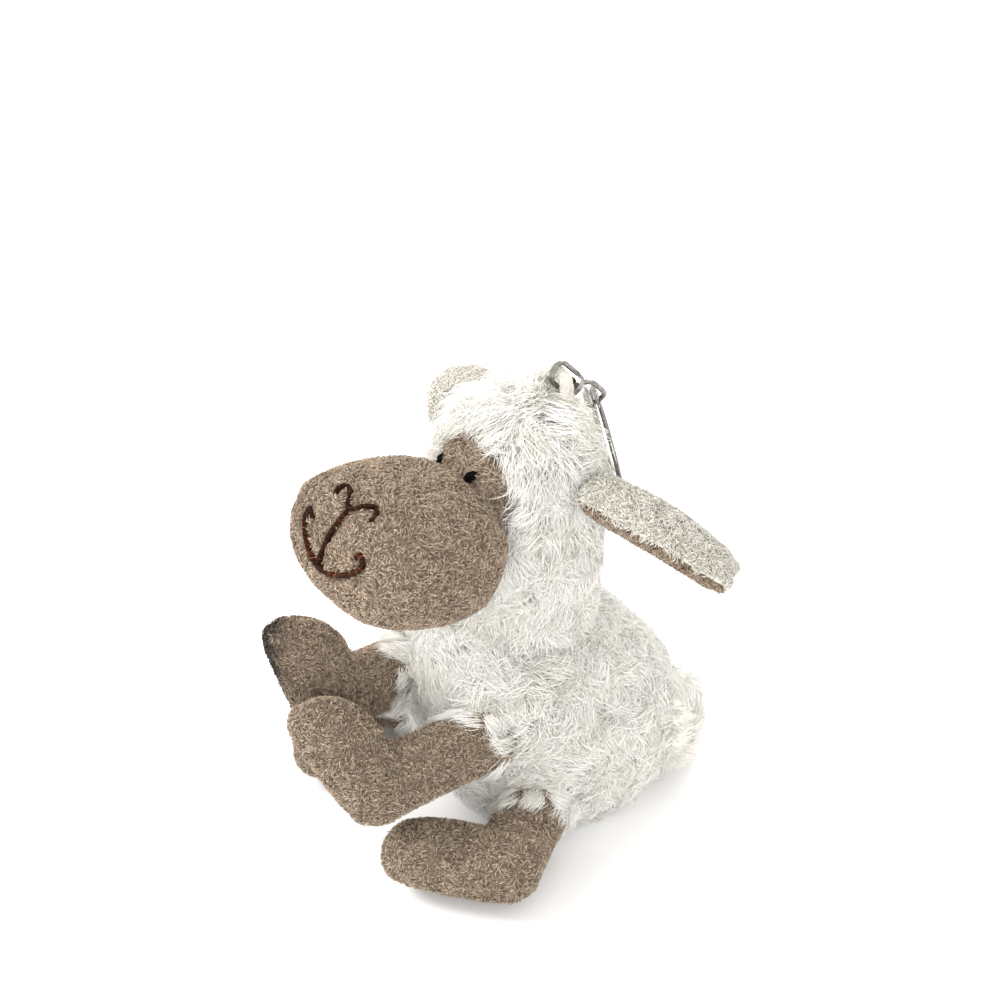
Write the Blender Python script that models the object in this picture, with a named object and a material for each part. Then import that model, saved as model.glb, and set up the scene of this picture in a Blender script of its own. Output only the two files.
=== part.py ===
"""Seated plush sheep on a key ring: fur covers, short-pile limbs and muzzle, filling, cord loop, swivel.

Metres, +Z up. The sheep faces -Y and its left side is +X. The origin is the centre of the flat seat.
Every soft part is a cloth cover with an opening at its sewn end, round a separate solid of filling.
"""

import math

import bmesh
import bpy
from mathutils import Matrix, Vector
from mathutils.bvhtree import BVHTree

X_AXIS = Vector((1, 0, 0))
Y_AXIS = Vector((0, 1, 0))
Z_AXIS = Vector((0, 0, 1))
QUARTER_TURN = math.pi / 2

# Clearances
SEAM_GAP = 0.0003
CUT_OVERRUN = 0.004
MERGE_DISTANCE = 0.00001

# Cloth
FUR_CLOTH = 0.0022
SHORT_CLOTH = 0.0014

# Torso: a pear with a flat seat and a ball-shaped top that the head turns on
TORSO_RADIUS = 0.0300
TORSO_DEPTH_RADIUS = 0.0300
NECK_RADIUS = 0.0155
NECK_HOLE_RADIUS = 0.0080
NECK_PIVOT = Vector((0, -0.0110, 0.0480))

# Head, measured from the neck pivot in the head's own frame
HEAD_RADIUS = 0.0178
HEAD_BACK_RADIUS = 0.0168
HEAD_HEIGHT = 0.0590
HEAD_CENTRE_HEIGHT = 0.0385
HEAD_CENTRE_FORWARD = 0.0068
NECK_RIM_HEIGHT = 0.0055
HEAD_PITCH = math.radians(6)
HEAD_TILT = math.radians(7)

# Face opening and eyes
FACE_OPENING_RADIUS = 0.0114
FACE_AIM = math.radians(16)
EYE_SPACING = 0.0090
EYE_SHIFT = -0.0013
EYE_RISE = math.radians(27)
EYE_HALF_WIDTH = 0.0012
EYE_HALF_HEIGHT = 0.0021
EYE_RELIEF = 0.0013

# Muzzle
MUZZLE_HALF_WIDTH = 0.0204
MUZZLE_HALF_LENGTH = 0.0184
MUZZLE_HALF_HEIGHT = 0.0147
MUZZLE_FORWARD = 0.0312
MUZZLE_DROP = 0.0048
MUZZLE_PITCH = math.radians(8)
STITCH_RADIUS = 0.00060
STITCH_LIFT = 0.0006
MOUTH_HALF_WIDTH = 0.0092
FACE_STITCH_HEIGHT = 0.0173
FACE_STITCH_DROP = 0.0056

# Ears
EAR_LENGTH = 0.0315
EAR_HALF_WIDTH = 0.0080
EAR_HALF_THICKNESS = 0.0038
EAR_CURL = 0.0010
EAR_DROOP = 0.0024

# Limbs
LIMB_RADIUS = 0.0072
LIMB_STANDOFF = 0.0002
ARM_LENGTH = 0.0303
LEG_LENGTH = 0.0228
ARM_FOOT_LENGTH = 0.0290
LEG_FOOT_LENGTH = 0.0340
FOOT_HEIGHT = 0.0147
LIMB_HOLE_RADIUS = 0.0040
ARM_HEIGHT = 0.0287
LEG_HEIGHT = 0.0094
BODY_TURN = math.radians(-8)
ARM_SPREAD = math.radians(31)
LEG_SPREAD = math.radians(53)
LIMB_SWING = math.radians(13)
SOCKET_REACH = 0.0150

# Tail
TAIL_LENGTH = 0.0092
TAIL_RADIUS = 0.0112
TAIL_HEIGHT = 0.0124
TAIL_OVERLAP = 0.0030
TAIL_TURN = math.radians(-45)

# Cord loop on the back of the crown
CORD_RADIUS = 0.0013
LOOP_SPAN = 0.0080
LOOP_RISE = 0.0064
LOOP_RISE_ANGLE = math.radians(75)

# Swivel and split ring
WIRE_RADIUS = 0.0006
EYE_BOW_RADIUS = 0.0024
EYE_FOOT_SPREAD = 0.0024
EYE_LENGTH = 0.0072
LINK_HALF_WIDTH = 0.0036
LINK_LENGTH = 0.0086
LINK_BOW_DEPTH = 0.0028
COLLAR_RADIUS = 0.0030
COLLAR_HEIGHT = 0.0016
STEM_RADIUS = 0.0008
STEM_HEAD_RADIUS = 0.0014
STEM_HEAD_HEIGHT = 0.0007
STEM_LENGTH = 0.0006
SWIVEL_FALL = math.radians(47)
RING_AXIS_SHARES = (0.54, 0.81, 0.22)
RING_RADIUS = 0.0144
RING_PITCH = 0.00168
RING_JOG = math.radians(30)
RING_END_GAP = math.radians(6)
RING_PLAY = 0.0008
RING_TURNS = 2

# How many faces each form has
TORSO_SEGMENTS = 20
MUZZLE_SEGMENTS = 16
LIMB_SEGMENTS = 12
EAR_SEGMENTS = 7
EAR_SEAM_STEPS = 4
COLLAR_SEGMENTS = 12
WIRE_STEPS = 8
BEND_STEPS = 8
RING_STEPS = 64
BALL_DIVISIONS = 2

# Profiles, as shares of the sizes above
# Torso below the neck pivot: height share of the pivot, radius share of the torso, shift back share
TORSO_PROFILE_SHARES = [
    (0.000, 0.74, 0.06),
    (0.045, 0.87, 0.06),
    (0.17, 0.985, 0.04),
    (0.36, 1.01, 0.00),
    (0.56, 0.965, -0.08),
    (0.74, 0.86, -0.18),
    (0.89, 0.71, -0.29),
]
TORSO_ROUNDNESS_SHARE = 2.1
DOME_ANGLE_SHARES = (0.0, 0.25, 0.5, 0.75)
# Head: height share between collar and crown, radius share, forward share of the head's centre shift
HEAD_PROFILE_SHARES = [
    (0.00, 0.93, 0.00),
    (0.14, 0.935, 0.20),
    (0.32, 0.965, 0.62),
    (0.48, 1.00, 0.90),
    (0.62, 1.01, 1.00),
    (0.76, 0.93, 1.00),
    (0.88, 0.74, 1.00),
    (0.965, 0.42, 0.95),
]
HEAD_ROUNDNESS_SHARE = 2.0
# Muzzle from the back to the front: length share, width share, height share, rise share
MUZZLE_PROFILE_SHARES = [
    (-0.96, 0.50, 0.50, 0.02),
    (-0.80, 0.76, 0.78, 0.00),
    (-0.50, 0.95, 0.96, -0.02),
    (-0.15, 1.00, 1.00, -0.02),
    (0.20, 0.98, 0.98, 0.01),
    (0.52, 0.95, 0.94, 0.03),
    (0.78, 0.89, 0.86, 0.06),
    (0.93, 0.76, 0.72, 0.08),
    (0.99, 0.50, 0.46, 0.08),
]
MUZZLE_ROUNDNESS_SHARE = 2.35
# Limb past its ball-shaped root, in the plane of leg and foot: the instep edge and the heel edge.
# Each is (toe-ward radii, toe-ward foot lengths, leg lengths, foot heights), then the width in radii.
LIMB_STATION_SHARES = [
    ((1.00, 0.00, 0.00, 0.00), (-1.00, 0.00, 0.00, 0.00), 1.00),
    ((0.98, 0.00, 0.38, 0.00), (-0.99, 0.00, 0.38, 0.00), 0.98),
    ((0.99, 0.00, 0.74, -0.18), (-1.02, 0.00, 0.80, -0.12), 0.97),
    ((1.05, 0.00, 1.00, -0.44), (-1.10, 0.00, 1.00, 0.06), 0.99),
    ((1.10, 0.05, 1.00, -0.47), (-0.80, 0.00, 1.00, 0.36), 1.00),
    ((1.12, 0.12, 1.00, -0.50), (-0.20, 0.06, 1.00, 0.48), 1.01),
    ((1.12, 0.23, 1.00, -0.50), (0.30, 0.27, 1.00, 0.50), 1.02),
    ((1.12, 0.36, 1.00, -0.46), (0.50, 0.44, 1.00, 0.48), 0.98),
    ((1.05, 0.49, 1.00, -0.34), (0.66, 0.55, 1.00, 0.40), 0.84),
    ((0.96, 0.57, 1.00, -0.14), (0.80, 0.60, 1.00, 0.24), 0.54),
]
LIMB_ROUNDNESS_SHARE = 2.2
LIMB_CAP_ANGLE_SHARES = (0.80, 0.55, 0.28)
SOCKET_ANGLE_SHARES = (0.78, 0.52, 0.26, 0.0)
# Where the limbs point: along the leg, and from heel to toe
LEFT_ARM_AIM_SHARES = ((-0.13, -0.99, -0.01), (-0.66, -0.30, 0.69))
RIGHT_ARM_AIM_SHARES = ((0.15, -0.95, 0.24), (-0.16, -0.38, 0.91))
LEFT_LEG_AIM_SHARES = ((0.45, -0.89, 0.00), (-0.80, -0.59, 0.02))
RIGHT_LEG_AIM_SHARES = ((-0.72, -0.69, 0.00), (0.66, -0.75, 0.00))
# Ear: length share, width share, thickness share
EAR_PROFILE_SHARES = [
    (0.00, 0.68, 0.95),
    (0.10, 0.84, 1.00),
    (0.28, 0.99, 0.98),
    (0.50, 1.00, 0.95),
    (0.70, 0.90, 0.92),
    (0.87, 0.70, 0.84),
    (0.97, 0.42, 0.62),
]
EAR_CURL_START_SHARE = 0.4
EAR_ROOT_ROUND_SHARES = (0.25, 0.62)
LEFT_EAR_ROOT_SHARES = (0.97, 0.14, 0.34)
RIGHT_EAR_ROOT_SHARES = (-0.93, 0.30, -0.03)
LEFT_EAR_AIM_SHARES = (0.80, 0.48, -0.24)
RIGHT_EAR_AIM_SHARES = (-0.79, 0.58, -0.12)
LEFT_EAR_FACE_SHARES = (0.05, 0.30, 0.93)
RIGHT_EAR_FACE_SHARES = (-0.25, -0.15, 0.95)
EYE_DOME_SHARES = (0.0, 0.35, 0.7)
LINK_CORNER_SHARE = 0.75
# Tail: length share, radius share
TAIL_PROFILE_SHARES = [(0.10, 0.95), (0.40, 1.00), (0.70, 0.86), (0.90, 0.55)]
# Stitched face in shares of its half width and height, from below the tip of the nose
NOSE_SHARES = [(-0.62, 0.90), (-0.64, 0.96), (-0.49, 1.00), (-0.30, 0.98), (-0.12, 0.92), (0.00, 0.885),
               (0.12, 0.92), (0.26, 0.98), (0.43, 1.00), (0.60, 0.975), (0.64, 0.91)]
PHILTRUM_SHARES = [(-0.06, 0.78), (-0.13, 0.69), (-0.25, 0.53), (-0.33, 0.35), (-0.39, 0.17)]
SMILE_SHARES = [(-0.89, 0.53), (-0.94, 0.60), (-1.08, 0.585), (-1.14, 0.50), (-1.12, 0.39),
                (-0.97, 0.255), (-0.76, 0.14), (-0.53, 0.05), (-0.24, 0.00), (0.08, 0.03),
                (0.42, 0.12), (0.73, 0.25), (0.86, 0.38), (0.87, 0.49), (0.76, 0.56), (0.62, 0.54)]

# The tilted head's own directions
HEAD_TURN = Matrix.Rotation(HEAD_TILT, 3, "Y") @ Matrix.Rotation(-HEAD_PITCH, 3, "X")
HEAD_FRAME = Matrix.Translation(NECK_PIVOT) @ HEAD_TURN.to_4x4()
HEAD_SIDE = HEAD_TURN @ X_AXIS
HEAD_BACK = HEAD_TURN @ Y_AXIS
HEAD_UP = HEAD_TURN @ Z_AXIS
HEAD_CENTRE = HEAD_FRAME @ Vector((0, -HEAD_CENTRE_FORWARD, HEAD_CENTRE_HEIGHT))

# What each limb is called, where it leaves the body, its height, its aims and its sizes
ARM_SIZES = (ARM_LENGTH, ARM_FOOT_LENGTH)
LEG_SIZES = (LEG_LENGTH, LEG_FOOT_LENGTH)
LIMBS = [
    ("left_arm", ARM_SPREAD, ARM_HEIGHT, LEFT_ARM_AIM_SHARES, ARM_SIZES),
    ("right_arm", -ARM_SPREAD, ARM_HEIGHT, RIGHT_ARM_AIM_SHARES, ARM_SIZES),
    ("left_leg", LEG_SPREAD, LEG_HEIGHT, LEFT_LEG_AIM_SHARES, LEG_SIZES),
    ("right_leg", -LEG_SPREAD, LEG_HEIGHT, RIGHT_LEG_AIM_SHARES, LEG_SIZES),
]
EARS = [
    ("left", 1, LEFT_EAR_ROOT_SHARES, (LEFT_EAR_AIM_SHARES, LEFT_EAR_FACE_SHARES)),
    ("right", -1, RIGHT_EAR_ROOT_SHARES, (RIGHT_EAR_AIM_SHARES, RIGHT_EAR_FACE_SHARES)),
]


def clear_everything():
    for item in list(bpy.data.objects):
        bpy.data.objects.remove(item, do_unlink=True)


def surface(name, colour, roughness, metallic=0.0):
    finish = bpy.data.materials.new(name)
    finish.use_nodes = True
    shader = finish.node_tree.nodes["Principled BSDF"]
    shader.inputs["Base Color"].default_value = (*colour, 1)
    shader.inputs["Roughness"].default_value = roughness
    shader.inputs["Metallic"].default_value = metallic
    return finish


def solid(name, points, faces):
    mesh = bpy.data.meshes.new(name)
    mesh.from_pydata([tuple(point) for point in points], [], faces)
    item = bpy.data.objects.new(name, mesh)
    bpy.context.collection.objects.link(item)
    tidy(item, turn_out=True)
    return item


def tidy(item, turn_out=False):
    """Smooth shading and no slivers; on a new solid also faces turned out and cut into triangles."""
    shape = bmesh.new()
    shape.from_mesh(item.data)
    bmesh.ops.remove_doubles(shape, verts=shape.verts, dist=MERGE_DISTANCE)
    bmesh.ops.dissolve_degenerate(shape, edges=shape.edges, dist=MERGE_DISTANCE)
    if turn_out:
        bmesh.ops.recalc_face_normals(shape, faces=shape.faces)
        bmesh.ops.triangulate(shape, faces=shape.faces)
    for face in shape.faces:
        face.smooth = True
    shape.to_mesh(item.data)
    shape.free()


def finish_node(item, look, parent=None):
    item.data.materials.clear()
    item.data.materials.append(look)
    if parent is not None:
        item.parent = parent
        item.matrix_parent_inverse = parent.matrix_world.inverted()
    return item


def joint_marker(name, place):
    marker = bpy.data.objects.new(name, None)
    marker.location = place
    bpy.context.collection.objects.link(marker)
    bpy.context.view_layer.update()
    return marker


def power(value, exponent):
    return math.copysign(abs(value) ** exponent, value)


def ring(centre, side, up, half_width, half_height, roundness, segments):
    """Rounded outline in one plane: roundness 2 is an ellipse, more is squarer."""
    points = []
    for step in range(segments):
        angle = math.tau * step / segments
        across = power(math.cos(angle), 2 / roundness) * half_width
        above = power(math.sin(angle), 2 / roundness) * half_height
        points.append(centre + side * across + up * above)
    return points


def middle(points):
    return sum(points, Vector()) / len(points)


def loft(name, rings, first_tip=None, last_tip=None):
    """Closed solid through rings of equal count, with a point or a flat fan at each end."""
    count = len(rings[0])
    points = [point for outline in rings for point in outline]
    first = len(points)
    points.append(first_tip or middle(rings[0]))
    points.append(last_tip or middle(rings[-1]))
    faces = []
    for row in range(len(rings) - 1):
        for step in range(count):
            turn = (step + 1) % count
            low = row * count
            high = low + count
            faces.append((low + step, low + turn, high + turn, high + step))
    top = (len(rings) - 1) * count
    for step in range(count):
        turn = (step + 1) % count
        faces.append((turn, step, first))
        faces.append((top + step, top + turn, first + 1))
    return solid(name, points, faces)


def tube(name, path, radius, closed=False):
    """Round wire along a path, with flat ends or joined into one closed loop."""
    count = len(path)
    rings = []
    side = None
    for index, place in enumerate(path):
        before = path[index - 1] if closed or index else place
        after = path[(index + 1) % count] if closed or index + 1 < count else place
        along = (after - before).normalized()
        if side is None:
            side = along.orthogonal().normalized()
        side = (side - along * side.dot(along)).normalized()
        up = along.cross(side)
        rings.append(ring(place, side, up, radius, radius, 2, WIRE_STEPS))
    if not closed:
        return loft(name, rings)
    points = [point for outline in rings for point in outline]
    faces = []
    for row in range(count):
        for step in range(WIRE_STEPS):
            turn = (step + 1) % WIRE_STEPS
            low = row * WIRE_STEPS
            high = (row + 1) % count * WIRE_STEPS
            faces.append((low + step, low + turn, high + turn, high + step))
    return solid(name, points, faces)


def rod(name, start, end, radius, segments):
    along = (end - start).normalized()
    side = along.orthogonal().normalized()
    up = along.cross(side)
    rings = [ring(place, side, up, radius, radius, 2, segments) for place in (start, end)]
    return loft(name, rings)


def ball(name, centre, radius):
    """Faceted ball whose flats, not its corners, lie at the radius."""
    shape = bmesh.new()
    bmesh.ops.create_icosphere(shape, subdivisions=BALL_DIVISIONS, radius=1)
    flat_share = min(face.calc_center_median().length for face in shape.faces)
    bmesh.ops.scale(shape, vec=Vector((1, 1, 1)) * radius / flat_share, verts=shape.verts)
    bmesh.ops.translate(shape, vec=centre, verts=shape.verts)
    mesh = bpy.data.meshes.new(name)
    shape.to_mesh(mesh)
    shape.free()
    item = bpy.data.objects.new(name, mesh)
    bpy.context.collection.objects.link(item)
    return item


def grown(item, distance, name="grown"):
    """Copy whose skin is moved out along its normals, or in where the distance is negative."""
    shape = bmesh.new()
    shape.from_mesh(item.data)
    moves = [vertex.normal * vertex.calc_shell_factor() * distance for vertex in shape.verts]
    for vertex, move in zip(shape.verts, moves):
        vertex.co += move
    mesh = bpy.data.meshes.new(name)
    shape.to_mesh(mesh)
    shape.free()
    copy = bpy.data.objects.new(name, mesh)
    bpy.context.collection.objects.link(copy)
    return copy


def combine(target, operation, cutter, keep_cutter=False):
    change = target.modifiers.new(operation.lower(), "BOOLEAN")
    change.operation = operation
    change.solver = "EXACT"
    change.object = cutter
    graph = bpy.context.evaluated_depsgraph_get()
    target_mesh = bpy.data.meshes.new_from_object(target.evaluated_get(graph))
    target.modifiers.clear()
    target.data = target_mesh
    tidy(target)
    if not keep_cutter:
        bpy.data.objects.remove(cutter, do_unlink=True)
    return target


def cut(target, *cutters, keep=False):
    for cutter in cutters:
        combine(target, "DIFFERENCE", cutter, keep)
    return target


def skin_tree(item):
    return BVHTree.FromPolygons(
        [vertex.co for vertex in item.data.vertices],
        [tuple(face.vertices) for face in item.data.polygons],
    )


def ray_hit(item, start, direction):
    """Where a ray from inside or outside a solid meets its skin, with the outward normal there."""
    place, normal, _, _ = skin_tree(item).ray_cast(start, direction.normalized())
    if normal.dot(direction) < 0 < normal.dot(place - start):
        normal = -normal
    return place, normal


def seating(item, points, outwards):
    """How far points outside a solid can move back before one comes within the seam's gap."""
    tree = skin_tree(item)
    moves = []
    for point in points:
        place, normal, _, distance = tree.ray_cast(point, -outwards)
        if place is not None and normal.dot(outwards) > 0:
            moves.append(distance - SEAM_GAP / normal.dot(outwards))
    return min(moves)


def make_torso():
    rings = []
    for height_share, radius_share, back_share in TORSO_PROFILE_SHARES:
        centre = Vector((0, back_share * TORSO_RADIUS, height_share * NECK_PIVOT.z))
        rings.append(ring(
            centre, X_AXIS, Y_AXIS, radius_share * TORSO_RADIUS, radius_share * TORSO_DEPTH_RADIUS,
            TORSO_ROUNDNESS_SHARE, TORSO_SEGMENTS,
        ))
    for share in DOME_ANGLE_SHARES:
        angle = share * QUARTER_TURN
        centre = NECK_PIVOT + Z_AXIS * math.sin(angle) * NECK_RADIUS
        radius = math.cos(angle) * NECK_RADIUS
        rings.append(ring(centre, X_AXIS, Y_AXIS, radius, radius, 2, TORSO_SEGMENTS))
    return loft("torso", rings, last_tip=NECK_PIVOT + Z_AXIS * NECK_RADIUS)


def neck_ball(extra):
    return ball("neck ball", NECK_PIVOT, NECK_RADIUS + SEAM_GAP + extra)


def neck_hole(axis):
    inner = NECK_PIVOT + axis * (NECK_RADIUS - FUR_CLOTH - CUT_OVERRUN)
    outer = NECK_PIVOT + axis * (NECK_RADIUS + FUR_CLOTH + CUT_OVERRUN)
    return rod("neck hole", inner, outer, NECK_HOLE_RADIUS, LIMB_SEGMENTS)


def socket(pivot, along, extra):
    """Room for a limb's rounded root, flared so that the limb can swing either way."""
    side = along.orthogonal().normalized()
    up = along.cross(side)
    radius = (LIMB_RADIUS + SEAM_GAP + extra) / math.cos(math.pi / MUZZLE_SEGMENTS) ** 2
    rings = []
    for share in SOCKET_ANGLE_SHARES:
        angle = share * QUARTER_TURN
        centre = pivot - along * math.sin(angle) * radius
        turn_radius = math.cos(angle) * radius
        rings.append(ring(centre, side, up, turn_radius, turn_radius, 2, MUZZLE_SEGMENTS))
    mouth = radius + math.tan(LIMB_SWING) * SOCKET_REACH
    rings.append(ring(pivot + along * SOCKET_REACH, side, up, mouth, mouth, 2, MUZZLE_SEGMENTS))
    return loft("socket", rings, first_tip=pivot - along * radius)


def dress_torso(torso, pivots):
    """Cover and filling of the torso, each with a hollow for every limb's rounded root."""
    cover = grown(torso, 0, "body_cover")
    cavity = grown(torso, -FUR_CLOTH)
    filling = grown(torso, -FUR_CLOTH - SEAM_GAP, "body_filling")
    for pivot, (_, _, _, aims, _) in zip(pivots, LIMBS):
        along = Vector(aims[0]).normalized()
        cut(cover, socket(pivot, along, 0))
        cut(cavity, socket(pivot, along, FUR_CLOTH))
        cut(filling, socket(pivot, along, FUR_CLOTH + SEAM_GAP))
    cut(cover, cavity, neck_hole(Z_AXIS))
    return cover, filling


def make_head():
    rings = []
    rise = HEAD_HEIGHT - NECK_RIM_HEIGHT
    for height_share, radius_share, forward_share in HEAD_PROFILE_SHARES:
        height = NECK_RIM_HEIGHT + height_share * rise
        centre = HEAD_FRAME @ Vector((0, -forward_share * HEAD_CENTRE_FORWARD, height))
        rings.append(ring(
            centre, HEAD_SIDE, HEAD_BACK, radius_share * HEAD_RADIUS, radius_share * HEAD_BACK_RADIUS,
            HEAD_ROUNDNESS_SHARE, TORSO_SEGMENTS,
        ))
    crown = HEAD_FRAME @ Vector((0, -HEAD_CENTRE_FORWARD, HEAD_HEIGHT))
    return loft("head", rings, last_tip=crown)


def face_plug(radius):
    aim = HEAD_TURN @ Vector((0, -math.cos(FACE_AIM), math.sin(FACE_AIM)))
    return rod("face opening", HEAD_CENTRE, HEAD_CENTRE + aim * HEAD_HEIGHT, radius, TORSO_SEGMENTS)


def dress_head(head):
    """Fur cover with a bowl for the neck and a face opening, the face panel in it, and the filling."""
    cavity = cut(grown(head, -FUR_CLOTH), neck_ball(FUR_CLOTH))
    cover = cut(grown(head, 0, "head_cover"), neck_ball(0), neck_hole(HEAD_UP))
    cut(cover, cavity, keep=True)
    cut(cover, face_plug(FACE_OPENING_RADIUS))
    panel = combine(grown(head, 0, "face_panel"), "INTERSECT", face_plug(FACE_OPENING_RADIUS - SEAM_GAP))
    cut(panel, cavity)
    filling = cut(grown(head, -FUR_CLOTH - SEAM_GAP, "head_filling"), neck_ball(FUR_CLOTH + SEAM_GAP))
    return cover, panel, filling


def make_muzzle():
    turn = HEAD_TURN @ Matrix.Rotation(-MUZZLE_PITCH, 3, "X")
    side = turn @ X_AXIS
    up = turn @ Z_AXIS
    forward = -(turn @ Y_AXIS)
    centre = HEAD_CENTRE - HEAD_BACK * MUZZLE_FORWARD - HEAD_UP * MUZZLE_DROP
    rings = []
    for length_share, width_share, height_share, rise_share in MUZZLE_PROFILE_SHARES:
        reach = forward * (length_share * MUZZLE_HALF_LENGTH)
        place = centre + reach + up * (rise_share * MUZZLE_HALF_HEIGHT)
        rings.append(ring(
            place, side, up, width_share * MUZZLE_HALF_WIDTH, height_share * MUZZLE_HALF_HEIGHT,
            MUZZLE_ROUNDNESS_SHARE, MUZZLE_SEGMENTS,
        ))
    nose = centre + forward * MUZZLE_HALF_LENGTH + up * (rise_share * MUZZLE_HALF_HEIGHT)
    return loft("muzzle", rings, last_tip=nose), nose, side, up, forward


def dress_muzzle(muzzle, head):
    cover = cut(grown(muzzle, 0, "muzzle_cover"), grown(head, SEAM_GAP), grown(muzzle, -SHORT_CLOTH))
    filling = cut(grown(muzzle, -SHORT_CLOTH - SEAM_GAP, "muzzle_filling"), grown(head, SEAM_GAP))
    return cover, filling


def make_stitch(name, muzzle, frame, shares):
    """Thread lying on the front of the muzzle, along points given across and above the mouth."""
    nose, side, up, forward = frame
    path = []
    for across_share, above_share in shares:
        across = across_share * MOUTH_HALF_WIDTH
        above = above_share * FACE_STITCH_HEIGHT - FACE_STITCH_DROP
        start = nose + side * across + up * above - forward * MUZZLE_HALF_LENGTH
        place, normal = ray_hit(muzzle, start, forward)
        path.append(place + normal * (STITCH_RADIUS + STITCH_LIFT))
    return tube(name, path, STITCH_RADIUS)


def make_eye(name, head, side_sign):
    """Stitched oval on the face panel, domed towards the front."""
    across = side_sign * EYE_SPACING / 2 + EYE_SHIFT
    start = HEAD_CENTRE + HEAD_SIDE * across
    aim = HEAD_TURN @ Vector((0, -math.cos(EYE_RISE), math.sin(EYE_RISE)))
    place, normal = ray_hit(head, start, aim)
    side = HEAD_UP.cross(normal).normalized()
    up = normal.cross(side)
    rings = []
    for share in EYE_DOME_SHARES:
        width = math.cos(share * QUARTER_TURN) * EYE_HALF_WIDTH
        height = math.cos(share * QUARTER_TURN) * EYE_HALF_HEIGHT
        centre = place + normal * math.sin(share * QUARTER_TURN) * EYE_RELIEF
        rings.append(ring(centre, side, up, width, height, 2, WIRE_STEPS))
    rings.insert(0, [point - normal * EYE_RELIEF for point in rings[0]])
    eye = loft(name, rings, last_tip=place + normal * EYE_RELIEF)
    return cut(eye, grown(head, SEAM_GAP))


def ear_frame(head, root_shares, aims):
    """Root point and directions of one ear: outwards along it, across it, and out of its upper side."""
    outwards = (HEAD_TURN @ Vector(root_shares)).normalized()
    along = (HEAD_TURN @ Vector(aims[0])).normalized()
    face = HEAD_TURN @ Vector(aims[1])
    face = (face - along * face.dot(along)).normalized()
    across = along.cross(face)
    place, _ = ray_hit(head, HEAD_CENTRE, outwards)
    root = place + outwards * EAR_LENGTH
    points = [
        point for side in (1, -1)
        for outline in ear_rings((root, along, across, face), side)
        for point in outline
    ]
    return root - outwards * seating(head, points, outwards), along, across, face


def ear_outline(centre, across, face, half_width, thickness, side, curl_share):
    """One layer's cross-section: domed on its outer side and following the ear's curl at the seam."""
    points = []
    for step in range(EAR_SEGMENTS + 1):
        angle = math.pi * step / EAR_SEGMENTS
        points.append((math.cos(angle) * half_width, math.sin(angle) * thickness))
    for step in range(1, EAR_SEAM_STEPS):
        points.append((half_width * (2 * step / EAR_SEAM_STEPS - 1), 0))
    placed = []
    for reach, height in points:
        curl = curl_share * EAR_CURL * (reach / EAR_HALF_WIDTH) ** 2
        placed.append(centre + across * reach + face * (side * (height + SEAM_GAP / 2) + curl))
    return placed


def ear_rings(frame, side):
    """Cross-sections of one ear layer from its rounded root to its tip."""
    root, along, across, face = frame
    rows = []
    root_width_share = EAR_PROFILE_SHARES[0][1]
    for share in EAR_ROOT_ROUND_SHARES:
        angle = share * QUARTER_TURN
        rows.append((-math.cos(angle) * EAR_HALF_THICKNESS, root_width_share, math.sin(angle)))
    for length_share, width_share, thickness_share in EAR_PROFILE_SHARES:
        rows.append((length_share * EAR_LENGTH, width_share, thickness_share))
    rings = []
    for reach, width_share, thickness_share in rows:
        droop = EAR_DROOP * (reach / EAR_LENGTH) ** 2
        centre = root + along * reach - face * droop
        width = width_share * EAR_HALF_WIDTH
        thickness = thickness_share * (EAR_HALF_THICKNESS - SEAM_GAP / 2)
        curl_share = min(max(reach / EAR_LENGTH, 0) / EAR_CURL_START_SHARE, 1)
        rings.append(ear_outline(centre, across, face, width, thickness, side, curl_share))
    return rings


def limb_root(torso, spread, height):
    """Pivot of a limb, just outside the torso at this height and turn from the body's front."""
    aim = Vector((math.sin(BODY_TURN + spread), -math.cos(BODY_TURN + spread), 0))
    place, normal = ray_hit(torso, Vector((0, 0, height)), aim)
    return place + normal * LIMB_STANDOFF


def make_limb(name, pivot, aims, sizes):
    """Stuffed limb with a ball-shaped root, a straight leg and a foot bent across its end."""
    length, foot_length = sizes
    along = Vector(aims[0]).normalized()
    toe = Vector(aims[1]).normalized()
    side = along.cross(toe).normalized()
    square = side.cross(along)
    rings = []
    for share in LIMB_CAP_ANGLE_SHARES:
        angle = share * QUARTER_TURN
        centre = pivot - along * math.sin(angle) * LIMB_RADIUS
        radius = math.cos(angle) * LIMB_RADIUS
        rings.append(ring(centre, square, side, radius, radius, 2, LIMB_SEGMENTS))
    for instep, heel, width_share in LIMB_STATION_SHARES:
        edges = []
        for radii, foot_lengths, leg_lengths, foot_heights in (instep, heel):
            outward = leg_lengths * length + foot_heights * FOOT_HEIGHT
            edge = pivot + square * (radii * LIMB_RADIUS) + toe * (foot_lengths * foot_length)
            edges.append(edge + along * outward)
        half = (edges[0] - edges[1]) / 2
        rings.append(ring(
            middle(edges), half.normalized(), side, half.length, width_share * LIMB_RADIUS,
            LIMB_ROUNDNESS_SHARE, LIMB_SEGMENTS,
        ))
    return loft(name, rings, first_tip=pivot - along * LIMB_RADIUS), along


def dress_limb(name, limb, pivot, along):
    """Cover with an opening at its sewn root, and the filling."""
    cover = cut(grown(limb, 0, name + "_cover"), grown(limb, -SHORT_CLOTH))
    hole_start = pivot - along * (LIMB_RADIUS + CUT_OVERRUN)
    cut(cover, rod("limb hole", hole_start, pivot, LIMB_HOLE_RADIUS, WIRE_STEPS))
    filling = grown(limb, -SHORT_CLOTH - SEAM_GAP, name + "_filling")
    return cover, filling


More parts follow.
